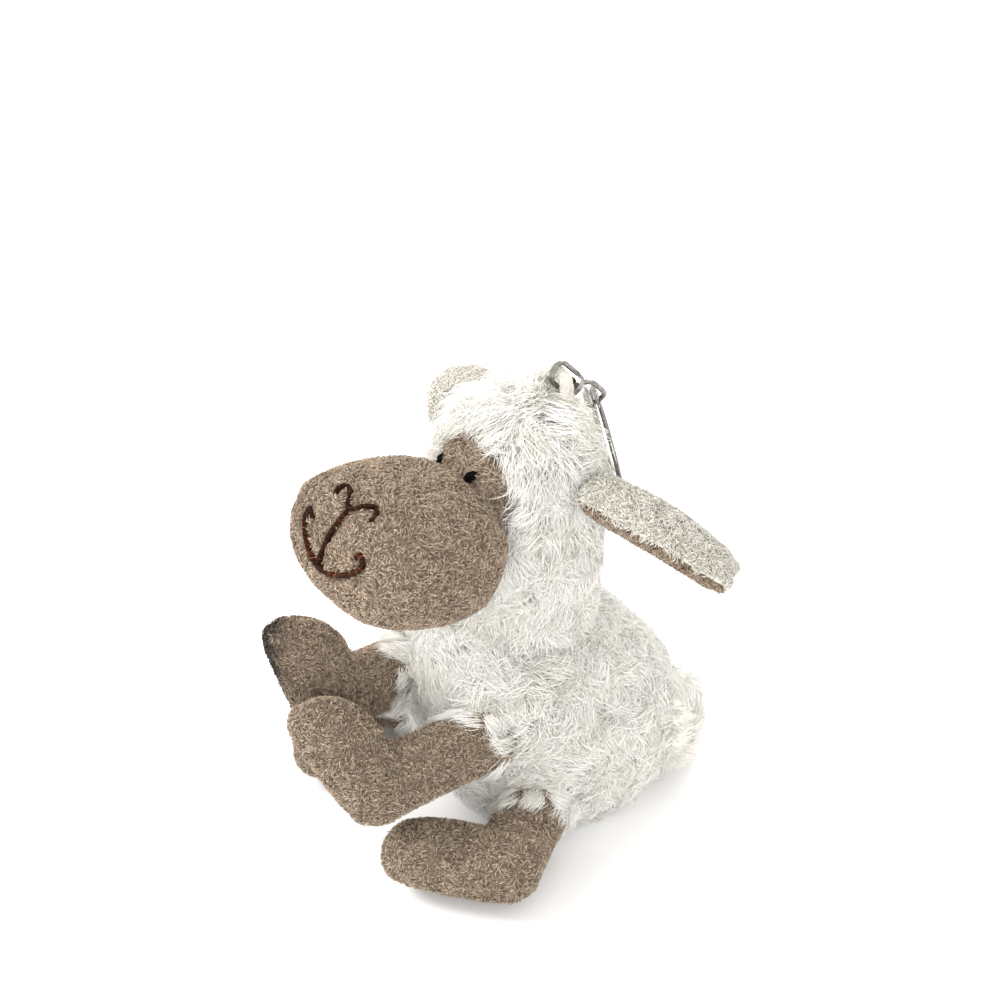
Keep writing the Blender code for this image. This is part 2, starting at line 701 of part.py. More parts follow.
def make_tail(torso):
    along = Matrix.Rotation(TAIL_TURN, 3, "Z") @ Y_AXIS
    place, _ = ray_hit(torso, Z_AXIS * TAIL_HEIGHT, along)
    across = along.cross(Z_AXIS)
    start = place - along * TAIL_OVERLAP
    rings = []
    for length_share, radius_share in TAIL_PROFILE_SHARES:
        centre = start + along * (length_share * TAIL_LENGTH)
        radius = radius_share * TAIL_RADIUS
        rings.append(ring(centre, across, Z_AXIS, radius, radius, 2, LIMB_SEGMENTS))
    tail = loft("tail", rings, last_tip=start + along * TAIL_LENGTH)
    return cut(tail, grown(torso, SEAM_GAP))


def make_loop(head):
    """Cord bent into a loop, its two ends sewn to the back of the crown."""
    rise = HEAD_TURN @ Vector((0, math.cos(LOOP_RISE_ANGLE), math.sin(LOOP_RISE_ANGLE)))
    base, _ = ray_hit(head, HEAD_CENTRE, rise)
    half_span = LOOP_SPAN / 2
    path = []
    for step in range(BEND_STEPS * 2 + 1):
        angle = math.pi * step / (BEND_STEPS * 2)
        reach = math.cos(angle) * half_span
        height = LOOP_RISE - half_span + math.sin(angle) * half_span
        path.append(base + HEAD_SIDE * reach + rise * height)
    path.insert(0, base + HEAD_SIDE * half_span - rise * half_span)
    path.append(base - HEAD_SIDE * half_span - rise * half_span)
    loop = tube("hanging_loop", path, CORD_RADIUS)
    return cut(loop, grown(head, SEAM_GAP)), base + rise * LOOP_RISE


def swivel_axes():
    """Direction that the swivel falls, the split ring's own axis, and the link's bar that it hangs on."""
    fall = Vector((0, math.cos(SWIVEL_FALL), -math.sin(SWIVEL_FALL)))
    ring_axis = Vector(RING_AXIS_SHARES).normalized()
    bar = (ring_axis - fall * ring_axis.dot(fall)).normalized()
    return fall, ring_axis, bar


def make_swivel_eye(hook, fall):
    """Wire bow round the cord, its feet in a collar with a bore."""
    flat = fall.cross(X_AXIS)
    top = hook - fall * (CORD_RADIUS + SEAM_GAP + WIRE_RADIUS)
    bow = top + fall * EYE_BOW_RADIUS
    foot = top + fall * EYE_LENGTH
    path = [foot + flat * EYE_FOOT_SPREAD]
    for step in range(BEND_STEPS + 1):
        angle = math.pi * step / BEND_STEPS
        path.append(bow + (flat * math.cos(angle) - fall * math.sin(angle)) * EYE_BOW_RADIUS)
    path.append(foot - flat * EYE_FOOT_SPREAD)
    eye = tube("swivel_eye", path, WIRE_RADIUS)
    collar_top = foot - fall * COLLAR_HEIGHT / 2
    collar_end = collar_top + fall * COLLAR_HEIGHT
    combine(eye, "UNION", rod("collar", collar_top, collar_end, COLLAR_RADIUS, COLLAR_SEGMENTS))
    bore = rod("bore", collar_top - fall * STEM_HEAD_HEIGHT, collar_end + fall * CUT_OVERRUN,
               STEM_RADIUS + SEAM_GAP, COLLAR_SEGMENTS)
    cut(eye, bore)
    return eye, collar_top, collar_end


def make_swivel_link(collar_top, collar_end, fall, bar):
    """D-shaped wire with a stem through the collar, headed over inside the eye."""
    shoulder = collar_end + fall * STEM_LENGTH
    path = []
    low = shoulder + fall * (WIRE_RADIUS + LINK_LENGTH)
    high = shoulder + fall * WIRE_RADIUS
    for step in range(BEND_STEPS + 1):
        angle = math.pi * step / BEND_STEPS
        side = power(math.cos(angle), LINK_CORNER_SHARE) * LINK_HALF_WIDTH
        depth = power(math.sin(angle), LINK_CORNER_SHARE) * LINK_BOW_DEPTH
        path.append(low - fall * LINK_BOW_DEPTH + bar * side + fall * depth)
    for step in range(BEND_STEPS + 1):
        angle = math.pi * step / BEND_STEPS
        side = -power(math.cos(angle), LINK_CORNER_SHARE) * LINK_HALF_WIDTH
        depth = power(math.sin(angle), LINK_CORNER_SHARE) * LINK_BOW_DEPTH
        path.append(high + fall * LINK_BOW_DEPTH + bar * side - fall * depth)
    link = tube("swivel_link", path, WIRE_RADIUS, closed=True)
    head_bottom = collar_top - fall * SEAM_GAP
    side = bar.cross(fall)
    rings = []
    for place, radius in (
        (head_bottom - fall * STEM_HEAD_HEIGHT, STEM_HEAD_RADIUS),
        (head_bottom, STEM_HEAD_RADIUS),
        (head_bottom, STEM_RADIUS),
        (high, STEM_RADIUS),
    ):
        rings.append(ring(place, bar, side, radius, radius, 2, COLLAR_SEGMENTS))
    combine(link, "UNION", loft("stem", rings))
    return link, low


def make_split_ring(low, axis):
    """Flat turns of wire with one step between them, hanging from the link's lower bow."""
    hang = (-Z_AXIS + axis * axis.z).normalized()
    side = axis.cross(hang)
    turn_radius = RING_RADIUS - WIRE_RADIUS
    centre = low + hang * (turn_radius - 2 * WIRE_RADIUS - RING_PLAY)
    path = []
    whole = RING_TURNS * math.tau - RING_JOG - RING_END_GAP
    for step in range(RING_STEPS + 1):
        angle = whole * step / RING_STEPS
        climb = min(max((angle - math.tau + RING_JOG) / RING_JOG, 0), 1)
        height = -math.cos(math.pi * climb) * RING_PITCH / 2
        spoke = hang * math.cos(angle) + side * math.sin(angle)
        path.append(centre + spoke * turn_radius + axis * height)
    print("ring centre", rounded(centre))
    print("split ring, least gap between its turns in mm:", round(least_gap(path) * 1000, 3))
    return tube("split_ring", path, WIRE_RADIUS)


def least_gap(path):
    """Least distance between stretches of the ring that are at least a quarter turn apart along it."""
    apart = RING_STEPS // 8
    nearest = min(
        (path[first] - path[second]).length
        for first in range(len(path))
        for second in range(first + apart, len(path))
    )
    return nearest - 2 * WIRE_RADIUS


def rounded(vector):
    return [round(value, 5) for value in vector]


def build_sheep():
    clear_everything()
    fur = surface("white_fur", (0.88, 0.87, 0.83), 0.95)
    taupe = surface("taupe_plush", (0.40, 0.34, 0.29), 0.95)
    pale = surface("offwhite_plush", (0.76, 0.73, 0.67), 0.95)
    fibre = surface("polyester_fibre", (0.93, 0.93, 0.92), 0.9)
    black = surface("black_thread", (0.02, 0.02, 0.02), 0.6)
    brown = surface("brown_thread", (0.13, 0.05, 0.02), 0.6)
    cord = surface("cream_cord", (0.85, 0.82, 0.74), 0.8)
    nickel = surface("nickel", (0.62, 0.61, 0.58), 0.25, 1.0)

    torso = make_torso()
    head = make_head()
    muzzle, *muzzle_frame = make_muzzle()

    neck_joint = joint_marker("neck_joint", NECK_PIVOT)
    pivots = [limb_root(torso, spread, height) for _, spread, height, _, _ in LIMBS]
    body_cover, body_filling = dress_torso(torso, pivots)
    finish_node(body_cover, fur)
    finish_node(body_filling, fibre)
    finish_node(make_tail(torso), fur)
    for pivot, (name, _, _, aims, sizes) in zip(pivots, LIMBS):
        limb, along = make_limb(name, pivot, aims, sizes)
        joint = joint_marker(name + "_joint", pivot)
        cover, filling = dress_limb(name, limb, pivot, along)
        finish_node(cover, taupe, joint)
        finish_node(filling, fibre, joint)
        print(name, "pivot", rounded(pivot), "axis", rounded(along.cross(Z_AXIS).normalized()))
        bpy.data.objects.remove(limb, do_unlink=True)

    head_cover, face_panel, head_filling = dress_head(head)
    finish_node(head_cover, fur, neck_joint)
    finish_node(face_panel, taupe, neck_joint)
    finish_node(head_filling, fibre, neck_joint)
    muzzle_cover, muzzle_filling = dress_muzzle(muzzle, head)
    finish_node(muzzle_cover, taupe, neck_joint)
    finish_node(muzzle_filling, fibre, neck_joint)
    finish_node(make_stitch("nose_stitch", muzzle, muzzle_frame, NOSE_SHARES), brown, neck_joint)
    finish_node(make_stitch("lip_stitch", muzzle, muzzle_frame, PHILTRUM_SHARES), brown, neck_joint)
    finish_node(make_stitch("mouth_stitch", muzzle, muzzle_frame, SMILE_SHARES), brown, neck_joint)
    for word, side_sign, root_shares, ear_aims in EARS:
        finish_node(make_eye(word + "_eye", head, side_sign), black, neck_joint)
        frame = ear_frame(head, root_shares, ear_aims)
        joint = joint_marker(word + "_ear_joint", frame[0])
        finish_node(loft(word + "_ear_top", ear_rings(frame, 1)), pale, joint)
        finish_node(loft(word + "_ear_underside", ear_rings(frame, -1)), taupe, joint)
        print(word, "ear root", rounded(frame[0]), "axis", rounded(frame[2]))

    loop, hook = make_loop(head)
    fall, ring_axis, bar = swivel_axes()
    eye, collar_top, collar_end = make_swivel_eye(hook, fall)
    link, low = make_swivel_link(collar_top, collar_end, fall, bar)
    split_ring = make_split_ring(low, ring_axis)
    finish_node(loop, cord, neck_joint)
    finish_node(eye, nickel, joint_marker("swivel_eye_joint", hook))
    finish_node(link, nickel, joint_marker("swivel_link_joint", collar_end))
    finish_node(split_ring, nickel, joint_marker("split_ring_joint", low))
    print("neck pivot", rounded(NECK_PIVOT), "neck axis", rounded(HEAD_UP))
    print("swivel hook", rounded(hook), "collar", rounded(collar_end), "fall", rounded(fall))
    print("link bar", rounded(bar), "low", rounded(low))
    for helper in (torso, head, muzzle):
        bpy.data.objects.remove(helper, do_unlink=True)


build_sheep()
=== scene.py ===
"""Looks of the seated plush sheep key ring: fur, short pile, stitched face, cord loop and hardware."""

import math

import bmesh
import bpy
import numpy as np
from mathutils import Matrix, Vector
from mathutils.bvhtree import BVHTree
from mathutils.kdtree import KDTree
from mathutils.noise import noise as noise_at
from mathutils.noise import noise_vector, seed_set


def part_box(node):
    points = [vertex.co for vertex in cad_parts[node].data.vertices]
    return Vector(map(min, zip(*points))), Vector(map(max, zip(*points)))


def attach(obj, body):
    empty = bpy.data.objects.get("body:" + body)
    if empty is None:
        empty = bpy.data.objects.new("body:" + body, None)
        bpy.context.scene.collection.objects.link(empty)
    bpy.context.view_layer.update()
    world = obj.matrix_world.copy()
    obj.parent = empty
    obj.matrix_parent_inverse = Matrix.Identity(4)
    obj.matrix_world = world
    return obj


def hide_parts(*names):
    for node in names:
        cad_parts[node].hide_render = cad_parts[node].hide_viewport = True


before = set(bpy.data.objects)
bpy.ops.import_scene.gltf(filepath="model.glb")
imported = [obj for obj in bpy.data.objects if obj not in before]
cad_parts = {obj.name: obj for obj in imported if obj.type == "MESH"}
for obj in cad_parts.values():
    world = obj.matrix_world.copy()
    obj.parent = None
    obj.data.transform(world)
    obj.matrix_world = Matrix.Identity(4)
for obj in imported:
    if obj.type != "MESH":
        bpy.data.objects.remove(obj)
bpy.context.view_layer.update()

Z_AXIS = Vector((0, 0, 1))
QUARTER_TURN = math.pi / 2
UV_MAP = "OFBake"
CELL_SHARE = 0.7
CELL_MARGIN_SHARE = 0.15

# Numbers that keep a vector of no length from having no direction
LEAST_LENGTH = 1e-12
GUIDE_SHIFT = 0.31
NUDGE = 1e-6
SLIGHT_NUDGE = 1e-9

# Camera, as the photograph sees the sheep
CAMERA_AZIMUTH = math.radians(48)
CAMERA_ELEVATION = math.radians(33)
CAMERA_DISTANCE = 0.45
CAMERA_TARGET = Vector((-0.0167, 0.00095, 0.06509))
PICTURE_WIDTH = 0.2326
PICTURE_PIXELS = 1000
SENSOR_WIDTH = 36
CLIP_START = 0.01

# Skins
MERGE_DISTANCE = 0.000005
LINING_DISTANCE = 0.0009
SHORT_CLOTH = 0.0017
EAR_PUFF = 0.0007
FLOOR_CLEARANCE = 0.0002
BODY_VOXEL = 0.0010
LIMB_VOXEL = 0.0007
EAR_VOXEL = 0.0004
SMOOTH_SHARE = 0.5
LIMB_SMOOTHING = 6
BODY_SMOOTHING = 4
MUZZLE_SMOOTHING = 8
PANEL_SMOOTHING = 2
EAR_SMOOTHING = 3
STUFFED_FILL_SHARE = 0.8
TAIL_FILL_SHARE = 0.6
NEAR_REACH = 0.0020

# How far a skin under long fur moves out, and the height of its lumps
BODY_UNDERCOAT = (-0.0006, 0.0016)
HEAD_UNDERCOAT = (0.0006, 0.0013)
TAIL_UNDERCOAT = (-0.0004, 0.0008)
UNDERCOAT_FADE = 0.0030
LUMP_SIZE = 0.0095

# Long fur: a strand's length, its lift off the skin, and its lean into its lock as a share
BODY_FUR = (0.0068, 0.0026, 0.9)
HEAD_FUR = (0.0070, 0.0028, 0.9)
COLLAR_FUR = (0.0056, 0.0018, 0.9)
CROWN_FUR = (0.0052, 0.0042, 0.7)
TAIL_FUR = (0.0055, 0.0028, 0.9)
BODY_FUR_PIECES = 7
HEAD_FUR_PIECES = 4
FUR_COUNT = 12400
COLLAR_FUR_COUNT = 18000
TAIL_FUR_COUNT = 2600
LOCK_SPACING = 0.0042
ROSETTE_SPACING = 0.0135
BODY_SPIRAL = math.radians(62)
HEAD_SPIRAL = math.radians(45)
BODY_PULL = 0.55
HEAD_PULL = 1.6
COMB_PULL = 1.5
COLLAR_STRAY = 0.30
CROWN_STRAY = 0.4
FUR_RADIUS = 0.00007
FUR_STATION_SHARES = (0, 0.36, 0.70, 1)
FUR_TAPER_SHARES = (1.0, 1.1, 0.8, 0)
LOCK_CURL = 0.9
LOCK_LENGTH_SHARES = (0.75, 1.25)
LOCK_LIFT_SHARES = (0.7, 1.25)
LOCK_LEAN_SHARES = (0.35, 1)
LEAN_POWER = 1.4
STRAND_STRAY = 0.16
STRAND_CURL = 0.25
LEAST_CURL = 0.05
STRAND_LENGTH_SHARES = (0.7, 1.15)
STRAND_LIFT_SHARES = (0.5, 1.2)
STRAND_WIDTH_SHARES = (0.55, 1.25)
RISE_RATE = 1.5
SAG_SHARE = 0.25
FRIZZ = 0.00014
FUR_SINK = 0.0004
STRAY_SHARE = 0.03
FUR_TONE = 0.5
LOCK_TONE_SPREAD = 0.22
STRAND_TONE_SPREAD = 0.12
DRAPE_REACH = 0.0040
DRAPE_CLEARANCE = 0.0005
COMB_REACH = 0.0060
CROWN_REACH = 0.0125
COLLAR_REACH = 0.0056
FACE_OPENING_RADIUS = 0.0122
FACE_AIM = math.radians(16)

# Short pile: a strand's length, its lift off the skin and its radius
PILE_RADIUS = 0.00010
LIMB_PILE = (0.0016, 0.00070, PILE_RADIUS)
MUZZLE_PILE = (0.0015, 0.00065, PILE_RADIUS)
PANEL_PILE = (0.0016, 0.00060, PILE_RADIUS)
EAR_PILE = (0.0017, 0.00070, PILE_RADIUS)
CORD_FUZZ = (0.0008, 0.00022, PILE_RADIUS * 0.7)
MUZZLE_PILE_PIECES = 2
LIMB_PILE_COUNT = 18500
MUZZLE_PILE_COUNT = 19000
PANEL_PILE_COUNT = 9000
EAR_PILE_COUNT = 14000
CORD_FUZZ_COUNT = 2600
PILE_STATION_SHARES = (0, 0.55, 1)
PILE_BEND_SHARES = (-0.15, 1.0, 0.75)
PILE_TAPER_SHARES = (0.9, 1.1, 0)
PILE_CURLS = (0.2, 0.8)
PILE_LENGTH_SHARES = (0.6, 1.3)
PILE_LIFT_SHARES = (0.5, 1.3)
PILE_WIDTH_SHARES = (0.6, 1.3)
PILE_STRAY = 0.20
PILE_SWAY_SIZE = 0.0034
PILE_GAP = 0.0002
PILE_TONE = 0.5
PILE_TONE_SPREAD = 0.27
PILE_LEAST_TONE = 0.12
EAR_RIM_SHARE = 0.2
STITCH_CLEARING = 0.0006
DARK_TOE_START = 0.0022
DARK_TOE_FADE = 0.0060
DARK_TOE_SHARE = 0.02

# Embroidery: its lines as pixels of the photograph, which the camera casts on the cloth
THREAD_RADIUS = 0.00014
THREAD_SPACING = 0.00015
THREAD_LIFT = 0.00110
THREAD_STRAY = 0.00003
THREAD_SIDES = 6
THREAD_WIDTH_SHARES = (0.8, 1.15)
THREAD_TONE = 0.30
THREAD_TONE_SPREAD = 0.24
SATIN_STATION_SHARES = (0, 0.15, 0.5, 0.85, 1)
SATIN_ARCH_SHARES = (-0.4, 0.75, 1.1, 0.75, -0.4)
SATIN_TAPER_SHARES = (1, 1, 1, 1, 0)
NOSE_HALF_WIDTH = 0.00042
PHILTRUM_HALF_WIDTH = 0.00046
SMILE_HALF_WIDTH = 0.00060
STITCH_WIDTH_SHARES = (0.75, 1.15)
SLANT_SHARE = 0.45
NOSE_PIXELS = [
    (337.0, 494.0), (338.5, 490.5), (344.0, 488.3), (350.0, 489.3), (350.7, 495.0), (349.3, 503.0),
    (350.5, 508.5), (357.0, 509.5), (366.0, 508.0), (374.0, 508.6), (377.2, 513.0), (374.6, 519.5),
    (370.5, 523.0),
]
PHILTRUM_PIXELS = [
    (350.0, 511.0), (342.0, 520.0), (333.5, 531.0), (327.5, 543.0), (322.5, 555.0), (320.5, 561.0),
]
SMILE_PIXELS = [
    (315.0, 517.0), (313.5, 509.0), (308.8, 513.5), (307.3, 525.0), (309.0, 540.0), (313.5, 555.0),
    (320.0, 565.5), (330.0, 572.5), (344.0, 575.2), (356.0, 572.5), (363.5, 566.5), (364.8, 558.0),
    (361.0, 554.0), (358.6, 557.5),
]
LEFT_EYE_PIXELS = ((463.0, 483.0), (481.0, 471.5))
RIGHT_EYE_PIXELS = ((438.2, 467.0), (448.4, 452.7))
EYE_HALF_WIDTH = 0.00092
EYE_LIFT = 0.0011
EYE_CLEARING = 0.0023
EYE_EDGE_SHARE = 0.96
EYE_LENGTH_SHARES = (0.90, 1.06)

# First numbers of the random draws
BODY_SEED = 100
COLLAR_SEED = 150
HEAD_SEED = 200
CROWN_SEED = 250
TAIL_SEED = 300
LIMB_SEED = 400
MUZZLE_SEED = 410
PANEL_SEED = 415
EAR_SEED = 500
STITCH_SEED = 600
EYE_SEED = 620
CORD_SEED = 700
SWAY_SEED = 800

# Marks in the materials, as cycles to the metre, and the depth of their relief
BLOTCH_SCALE = 90.0
FUR_GRAIN_SCALE = 900.0
PLUSH_GRAIN_SCALE = 1400.0
CORD_GRAIN_SCALE = 2600.0
SMEAR_SCALE = 900.0
FLOOR_GRAIN_SCALE = 6.0
CLOTH_RELIEF = 0.0003
PALE_RELIEF = 0.0002
CORD_RELIEF = 0.00005

# Studio: each lamp's place, size and power, the sky and the floor
LAMPS = {
    "key": ((-0.55, -0.50, 0.62), 0.4, 7.5),
    "fill": ((0.60, -0.40, 0.35), 0.6, 2.6),
    "back": ((-0.25, 0.55, 0.60), 0.5, 1.2),
}
SKY_COLOUR = (1.0, 0.99, 0.97, 1)
SKY_STRENGTH = 1.20
FLOOR_HALF_WIDTH = 3.0

# Key hardware
FLAT_ENOUGH = math.radians(40)
WIRE_LEVELS = 2

# The head's own directions, as in the part's source
HEAD_PITCH = math.radians(6)
HEAD_TILT = math.radians(7)
HEAD_TURN = Matrix.Rotation(HEAD_TILT, 3, "Y") @ Matrix.Rotation(-HEAD_PITCH, 3, "X")

# The camera's own directions
CAMERA_FLAT_BACK = Vector((math.sin(CAMERA_AZIMUTH), -math.cos(CAMERA_AZIMUTH), 0))
CAMERA_BACK = CAMERA_FLAT_BACK * math.cos(CAMERA_ELEVATION) + Z_AXIS * math.sin(CAMERA_ELEVATION)
CAMERA_RIGHT = Vector((math.cos(CAMERA_AZIMUTH), math.sin(CAMERA_AZIMUTH), 0))
CAMERA_UP = CAMERA_BACK.cross(CAMERA_RIGHT)
CAMERA_PLACE = CAMERA_TARGET + CAMERA_BACK * CAMERA_DISTANCE


def middle_of(node):
    """Middle of a CAD node's box."""
    low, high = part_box(node)
    return (low + high) / 2


# Shapes taken from the CAD model

def loose_mesh(item):
    """Editable copy of a CAD node's mesh with its split vertices joined."""
    shape = bmesh.new()
    shape.from_mesh(item.data)
    bmesh.ops.remove_doubles(shape, verts=shape.verts, dist=MERGE_DISTANCE)
    return shape


def tree_of(mesh):
    return BVHTree.FromPolygons(
        [vertex.co for vertex in mesh.vertices],
        [tuple(face.vertices) for face in mesh.polygons],
    )


def skin_of(name, node, voxel, smoothing, filling=None, grow=0):
    """Rounded skin of a CAD cover without its hollow, or of a filling grown to its cover's size."""
    shape = loose_mesh(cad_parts[node])
    moves = [vertex.normal * vertex.calc_shell_factor() * grow for vertex in shape.verts]
    for vertex, move in zip(shape.verts, moves):
        vertex.co += move
    if filling:
        lining = loose_mesh(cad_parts[filling])
        tree = BVHTree.FromBMesh(lining)
        inner = [
            face for face in shape.faces
            if tree.find_nearest(face.calc_center_median())[3] < LINING_DISTANCE
        ]
        bmesh.ops.delete(shape, geom=inner, context="FACES")
        bmesh.ops.holes_fill(shape, edges=shape.edges, sides=0)
        lining.free()
    mesh = bpy.data.meshes.new(name)
    bmesh.ops.triangulate(shape, faces=shape.faces)
    shape.to_mesh(mesh)
    shape.free()
    item = bpy.data.objects.new(name, mesh)
    bpy.context.scene.collection.objects.link(item)
    remesh = item.modifiers.new("remesh", "REMESH")
    remesh.mode = "VOXEL"
    remesh.voxel_size = voxel
    remesh.use_smooth_shade = True
    smooth = item.modifiers.new("smooth", "SMOOTH")
    smooth.factor = SMOOTH_SHARE
    smooth.iterations = smoothing
    bake_modifiers(item)
    return item


def bake_modifiers(item):
    """Puts the result of an object's modifiers in its mesh."""
    graph = bpy.context.evaluated_depsgraph_get()
    mesh = bpy.data.meshes.new_from_object(item.evaluated_get(graph))
    item.modifiers.clear()
    item.data = mesh
    item.data.shade_smooth()


def places(mesh):
    points = np.empty(len(mesh.vertices) * 3)
    mesh.vertices.foreach_get("co", points)
    return points.reshape(-1, 3)


def outward(mesh):
    normals = np.empty(len(mesh.vertices) * 3)
    mesh.vertices.foreach_get("normal", normals)
    return normals.reshape(-1, 3)


def move_to(mesh, points):
    points[:, 2] = np.maximum(points[:, 2], FLOOR_CLEARANCE)
    mesh.vertices.foreach_set("co", points.ravel())
    mesh.update()


def distances(points, trees, reach):
    """How far each point lies outside the nearest of some solids: negative inside, at most reach."""
    found = np.full(len(points), reach)
    for index, point in enumerate(points):
        place = Vector(point)
        for tree in trees:
            near, normal, _, gap = tree.find_nearest(place, reach)
            if near is None:
                continue
            if normal.dot(place - near) < 0:
                gap = -gap
            found[index] = min(found[index], gap)
    return found


def laid_on(points, trees):
    """The same points, but those inside or close to some solids moved out to lie on them."""
    moved = points.copy()
    for index, point in enumerate(points):
        for tree in trees:
            near, normal, _, gap = tree.find_nearest(Vector(point), DRAPE_REACH)
            if near is None:
                continue
            if normal.dot(Vector(point) - near) < 0 or gap < DRAPE_CLEARANCE:
                moved[index] = near + normal * DRAPE_CLEARANCE
    return moved


# Strands

def scatter(mesh, count, chance):
    """Even random places on a skin with their outward directions."""
    mesh.calc_loop_triangles()
    corners = np.empty(len(mesh.loop_triangles) * 3, np.int32)
    mesh.loop_triangles.foreach_get("vertices", corners)
    corners = corners.reshape(-1, 3)
    points = places(mesh)
    normals = outward(mesh)
    sides = points[corners[:, 1:]] - points[corners[:, :1]]
    areas = np.linalg.norm(np.cross(sides[:, 0], sides[:, 1]), axis=1)
    chosen = chance.choice(len(corners), count, p=areas / areas.sum())
    first, second = chance.random((2, count))
    turn = first + second > 1
    first[turn] = 1 - first[turn]
    second[turn] = 1 - second[turn]
    shares = np.stack([1 - first - second, first, second], axis=1)[:, :, None]
    spots = (points[corners[chosen]] * shares).sum(axis=1)
    facing = unit((normals[corners[chosen]] * shares).sum(axis=1))
    return spots, facing


def unit(vectors):
    return vectors / np.maximum(np.linalg.norm(vectors, axis=-1, keepdims=True), LEAST_LENGTH)


def flat(vectors, normals):
    """The part of each vector that lies along the surface."""
    return vectors - normals * (vectors * normals).sum(axis=-1, keepdims=True)


def spread(points, spacing):
    """Indices of points that keep a distance from each other."""
    kept = []
    cells = {}
    for index, point in enumerate(points):
        cell = tuple(np.floor(point / spacing).astype(int))
        near = (
            other
            for x in (-1, 0, 1) for y in (-1, 0, 1) for z in (-1, 0, 1)
            for other in cells.get((cell[0] + x, cell[1] + y, cell[2] + z), ())
        )
        if all(np.linalg.norm(points[other] - point) >= spacing for other in near):
            kept.append(index)
            cells.setdefault(cell, []).append(index)
    return np.array(kept)


def nearest(points, targets):
    """Index of the nearest target for each point."""
    tree = KDTree(len(targets))
    for index, target in enumerate(targets):
        tree.insert(target, index)
    tree.balance()
    return np.array([tree.find(point)[1] for point in points])


def strands(name, paths, radii, tones, look, sides=3):
    """One mesh of thin strands that taper to a point. Tones is one number from 0 to 1 for each."""
    count, stations, _ = paths.shape
    paths = paths.copy()
    paths[..., 2] = np.maximum(paths[..., 2], FLOOR_CLEARANCE)
    along = unit(np.gradient(paths, axis=1))
    guide = unit(np.cross(along[:, :1], unit(paths[:, -1:] - paths[:, :1]) + GUIDE_SHIFT))
    first = unit(np.cross(along, np.cross(guide, along)))
    second = np.cross(along, first)
    angles = math.tau * np.arange(sides) / sides
    turned = (
        np.cos(angles)[:, None] * first[:, :-1, None, :]
        + np.sin(angles)[:, None] * second[:, :-1, None, :]
    )
    rings = paths[:, :-1, None, :] + radii[:, :-1, None, None] * turned
    each = (stations - 1) * sides + 1
    points = np.concatenate([rings.reshape(count, -1, 3), paths[:, -1:]], axis=1).reshape(-1, 3)
    faces = [list(range(sides))[::-1]]
    wraps = [[(side / sides, 0) for side in range(sides)][::-1]]
    for row in range(stations - 1):
        for side in range(sides):
            turn = (side + 1) % sides
            low = row * sides
            start, end = side / sides, (side + 1) / sides
            below, above = row / (stations - 1), (row + 1) / (stations - 1)
            if row < stations - 2:
                faces.append([low + side, low + turn, low + sides + turn, low + sides + side])
                wraps.append([(start, below), (end, below), (end, above), (start, above)])
            else:
                faces.append([low + side, low + turn, each - 1])
                wraps.append([(start, below), (end, below), ((start + end) / 2, above)])
    loops = np.array([corner for face in faces for corner in face])
    starts = np.cumsum([0] + [len(face) for face in faces[:-1]])
    step = np.arange(count)[:, None]
    mesh = bpy.data.meshes.new(name)
    mesh.vertices.add(count * each)
    mesh.vertices.foreach_set("co", points.ravel())
    mesh.loops.add(count * len(loops))
    mesh.loops.foreach_set("vertex_index", (loops + step * each).ravel().astype(np.int32))
    mesh.polygons.add(count * len(faces))
    mesh.polygons.foreach_set("loop_start", (starts + step * len(loops)).ravel().astype(np.int32))
    mesh.update(calc_edges=True)
    mesh.shade_smooth()
    tone = mesh.attributes.new("tone", "FLOAT", "POINT")
    tone.data.foreach_set("value", np.repeat(tones, each).astype(np.float32))
    reach = mesh.attributes.new("reach", "FLOAT", "POINT")
    reaches = np.append(np.repeat(np.arange(stations - 1) / (stations - 1), sides), 1)
    reach.data.foreach_set("value", np.tile(reaches, count).astype(np.float32))
    # Each strand has its own cell of the map, so that its colour can be baked
    cells = math.ceil(math.sqrt(count))
    wrap = np.array([corner for face in wraps for corner in face]) * CELL_SHARE + CELL_MARGIN_SHARE
    origin = np.stack([np.arange(count) % cells, np.arange(count) // cells], axis=1)
    layer = mesh.uv_layers.new(name=UV_MAP)
    layer.data.foreach_set("uv", ((origin[:, None, :] + wrap) / cells).ravel().astype(np.float32))
    mesh.materials.append(look)
    item = bpy.data.objects.new(name, mesh)
    bpy.context.scene.collection.objects.link(item)
    return item


def swirl(points, normals, chance, spacing, pull, turn):
    """Directions along the fur: spirals round scattered centres, drawn towards the pull direction."""
    order = chance.permutation(len(points))
    centres = order[spread(points[order], spacing)]
    home = centres[nearest(points, points[centres])]
    signs = np.where(chance.random(len(points)) < 0.5, 1.0, -1.0)[home]
    radial = unit(flat(points - points[home], normals) + NUDGE)
    sideways = np.cross(normals, radial)
    heading = radial * math.cos(turn) + sideways * (signs * math.sin(turn))[:, None]
    drawn = unit(flat(np.broadcast_to(pull, normals.shape), normals) + NUDGE)
    return unit(heading + drawn * np.linalg.norm(pull))


def laid_out(spots, normals, heading, reach, curl, stations, height):
    """Strand paths that bend evenly along the skin and rise off it by a height at each station."""
    angle = curl[:, None] * stations
    ahead = reach[:, None] * np.sin(angle) / curl[:, None]
    across = reach[:, None] * (1 - np.cos(angle)) / curl[:, None]
    side = np.cross(normals, heading)
    return (
        spots[:, None, :]
        + heading[:, None, :] * ahead[..., None]
        + side[:, None, :] * across[..., None]
        + normals[:, None, :] * height[..., None]
    )


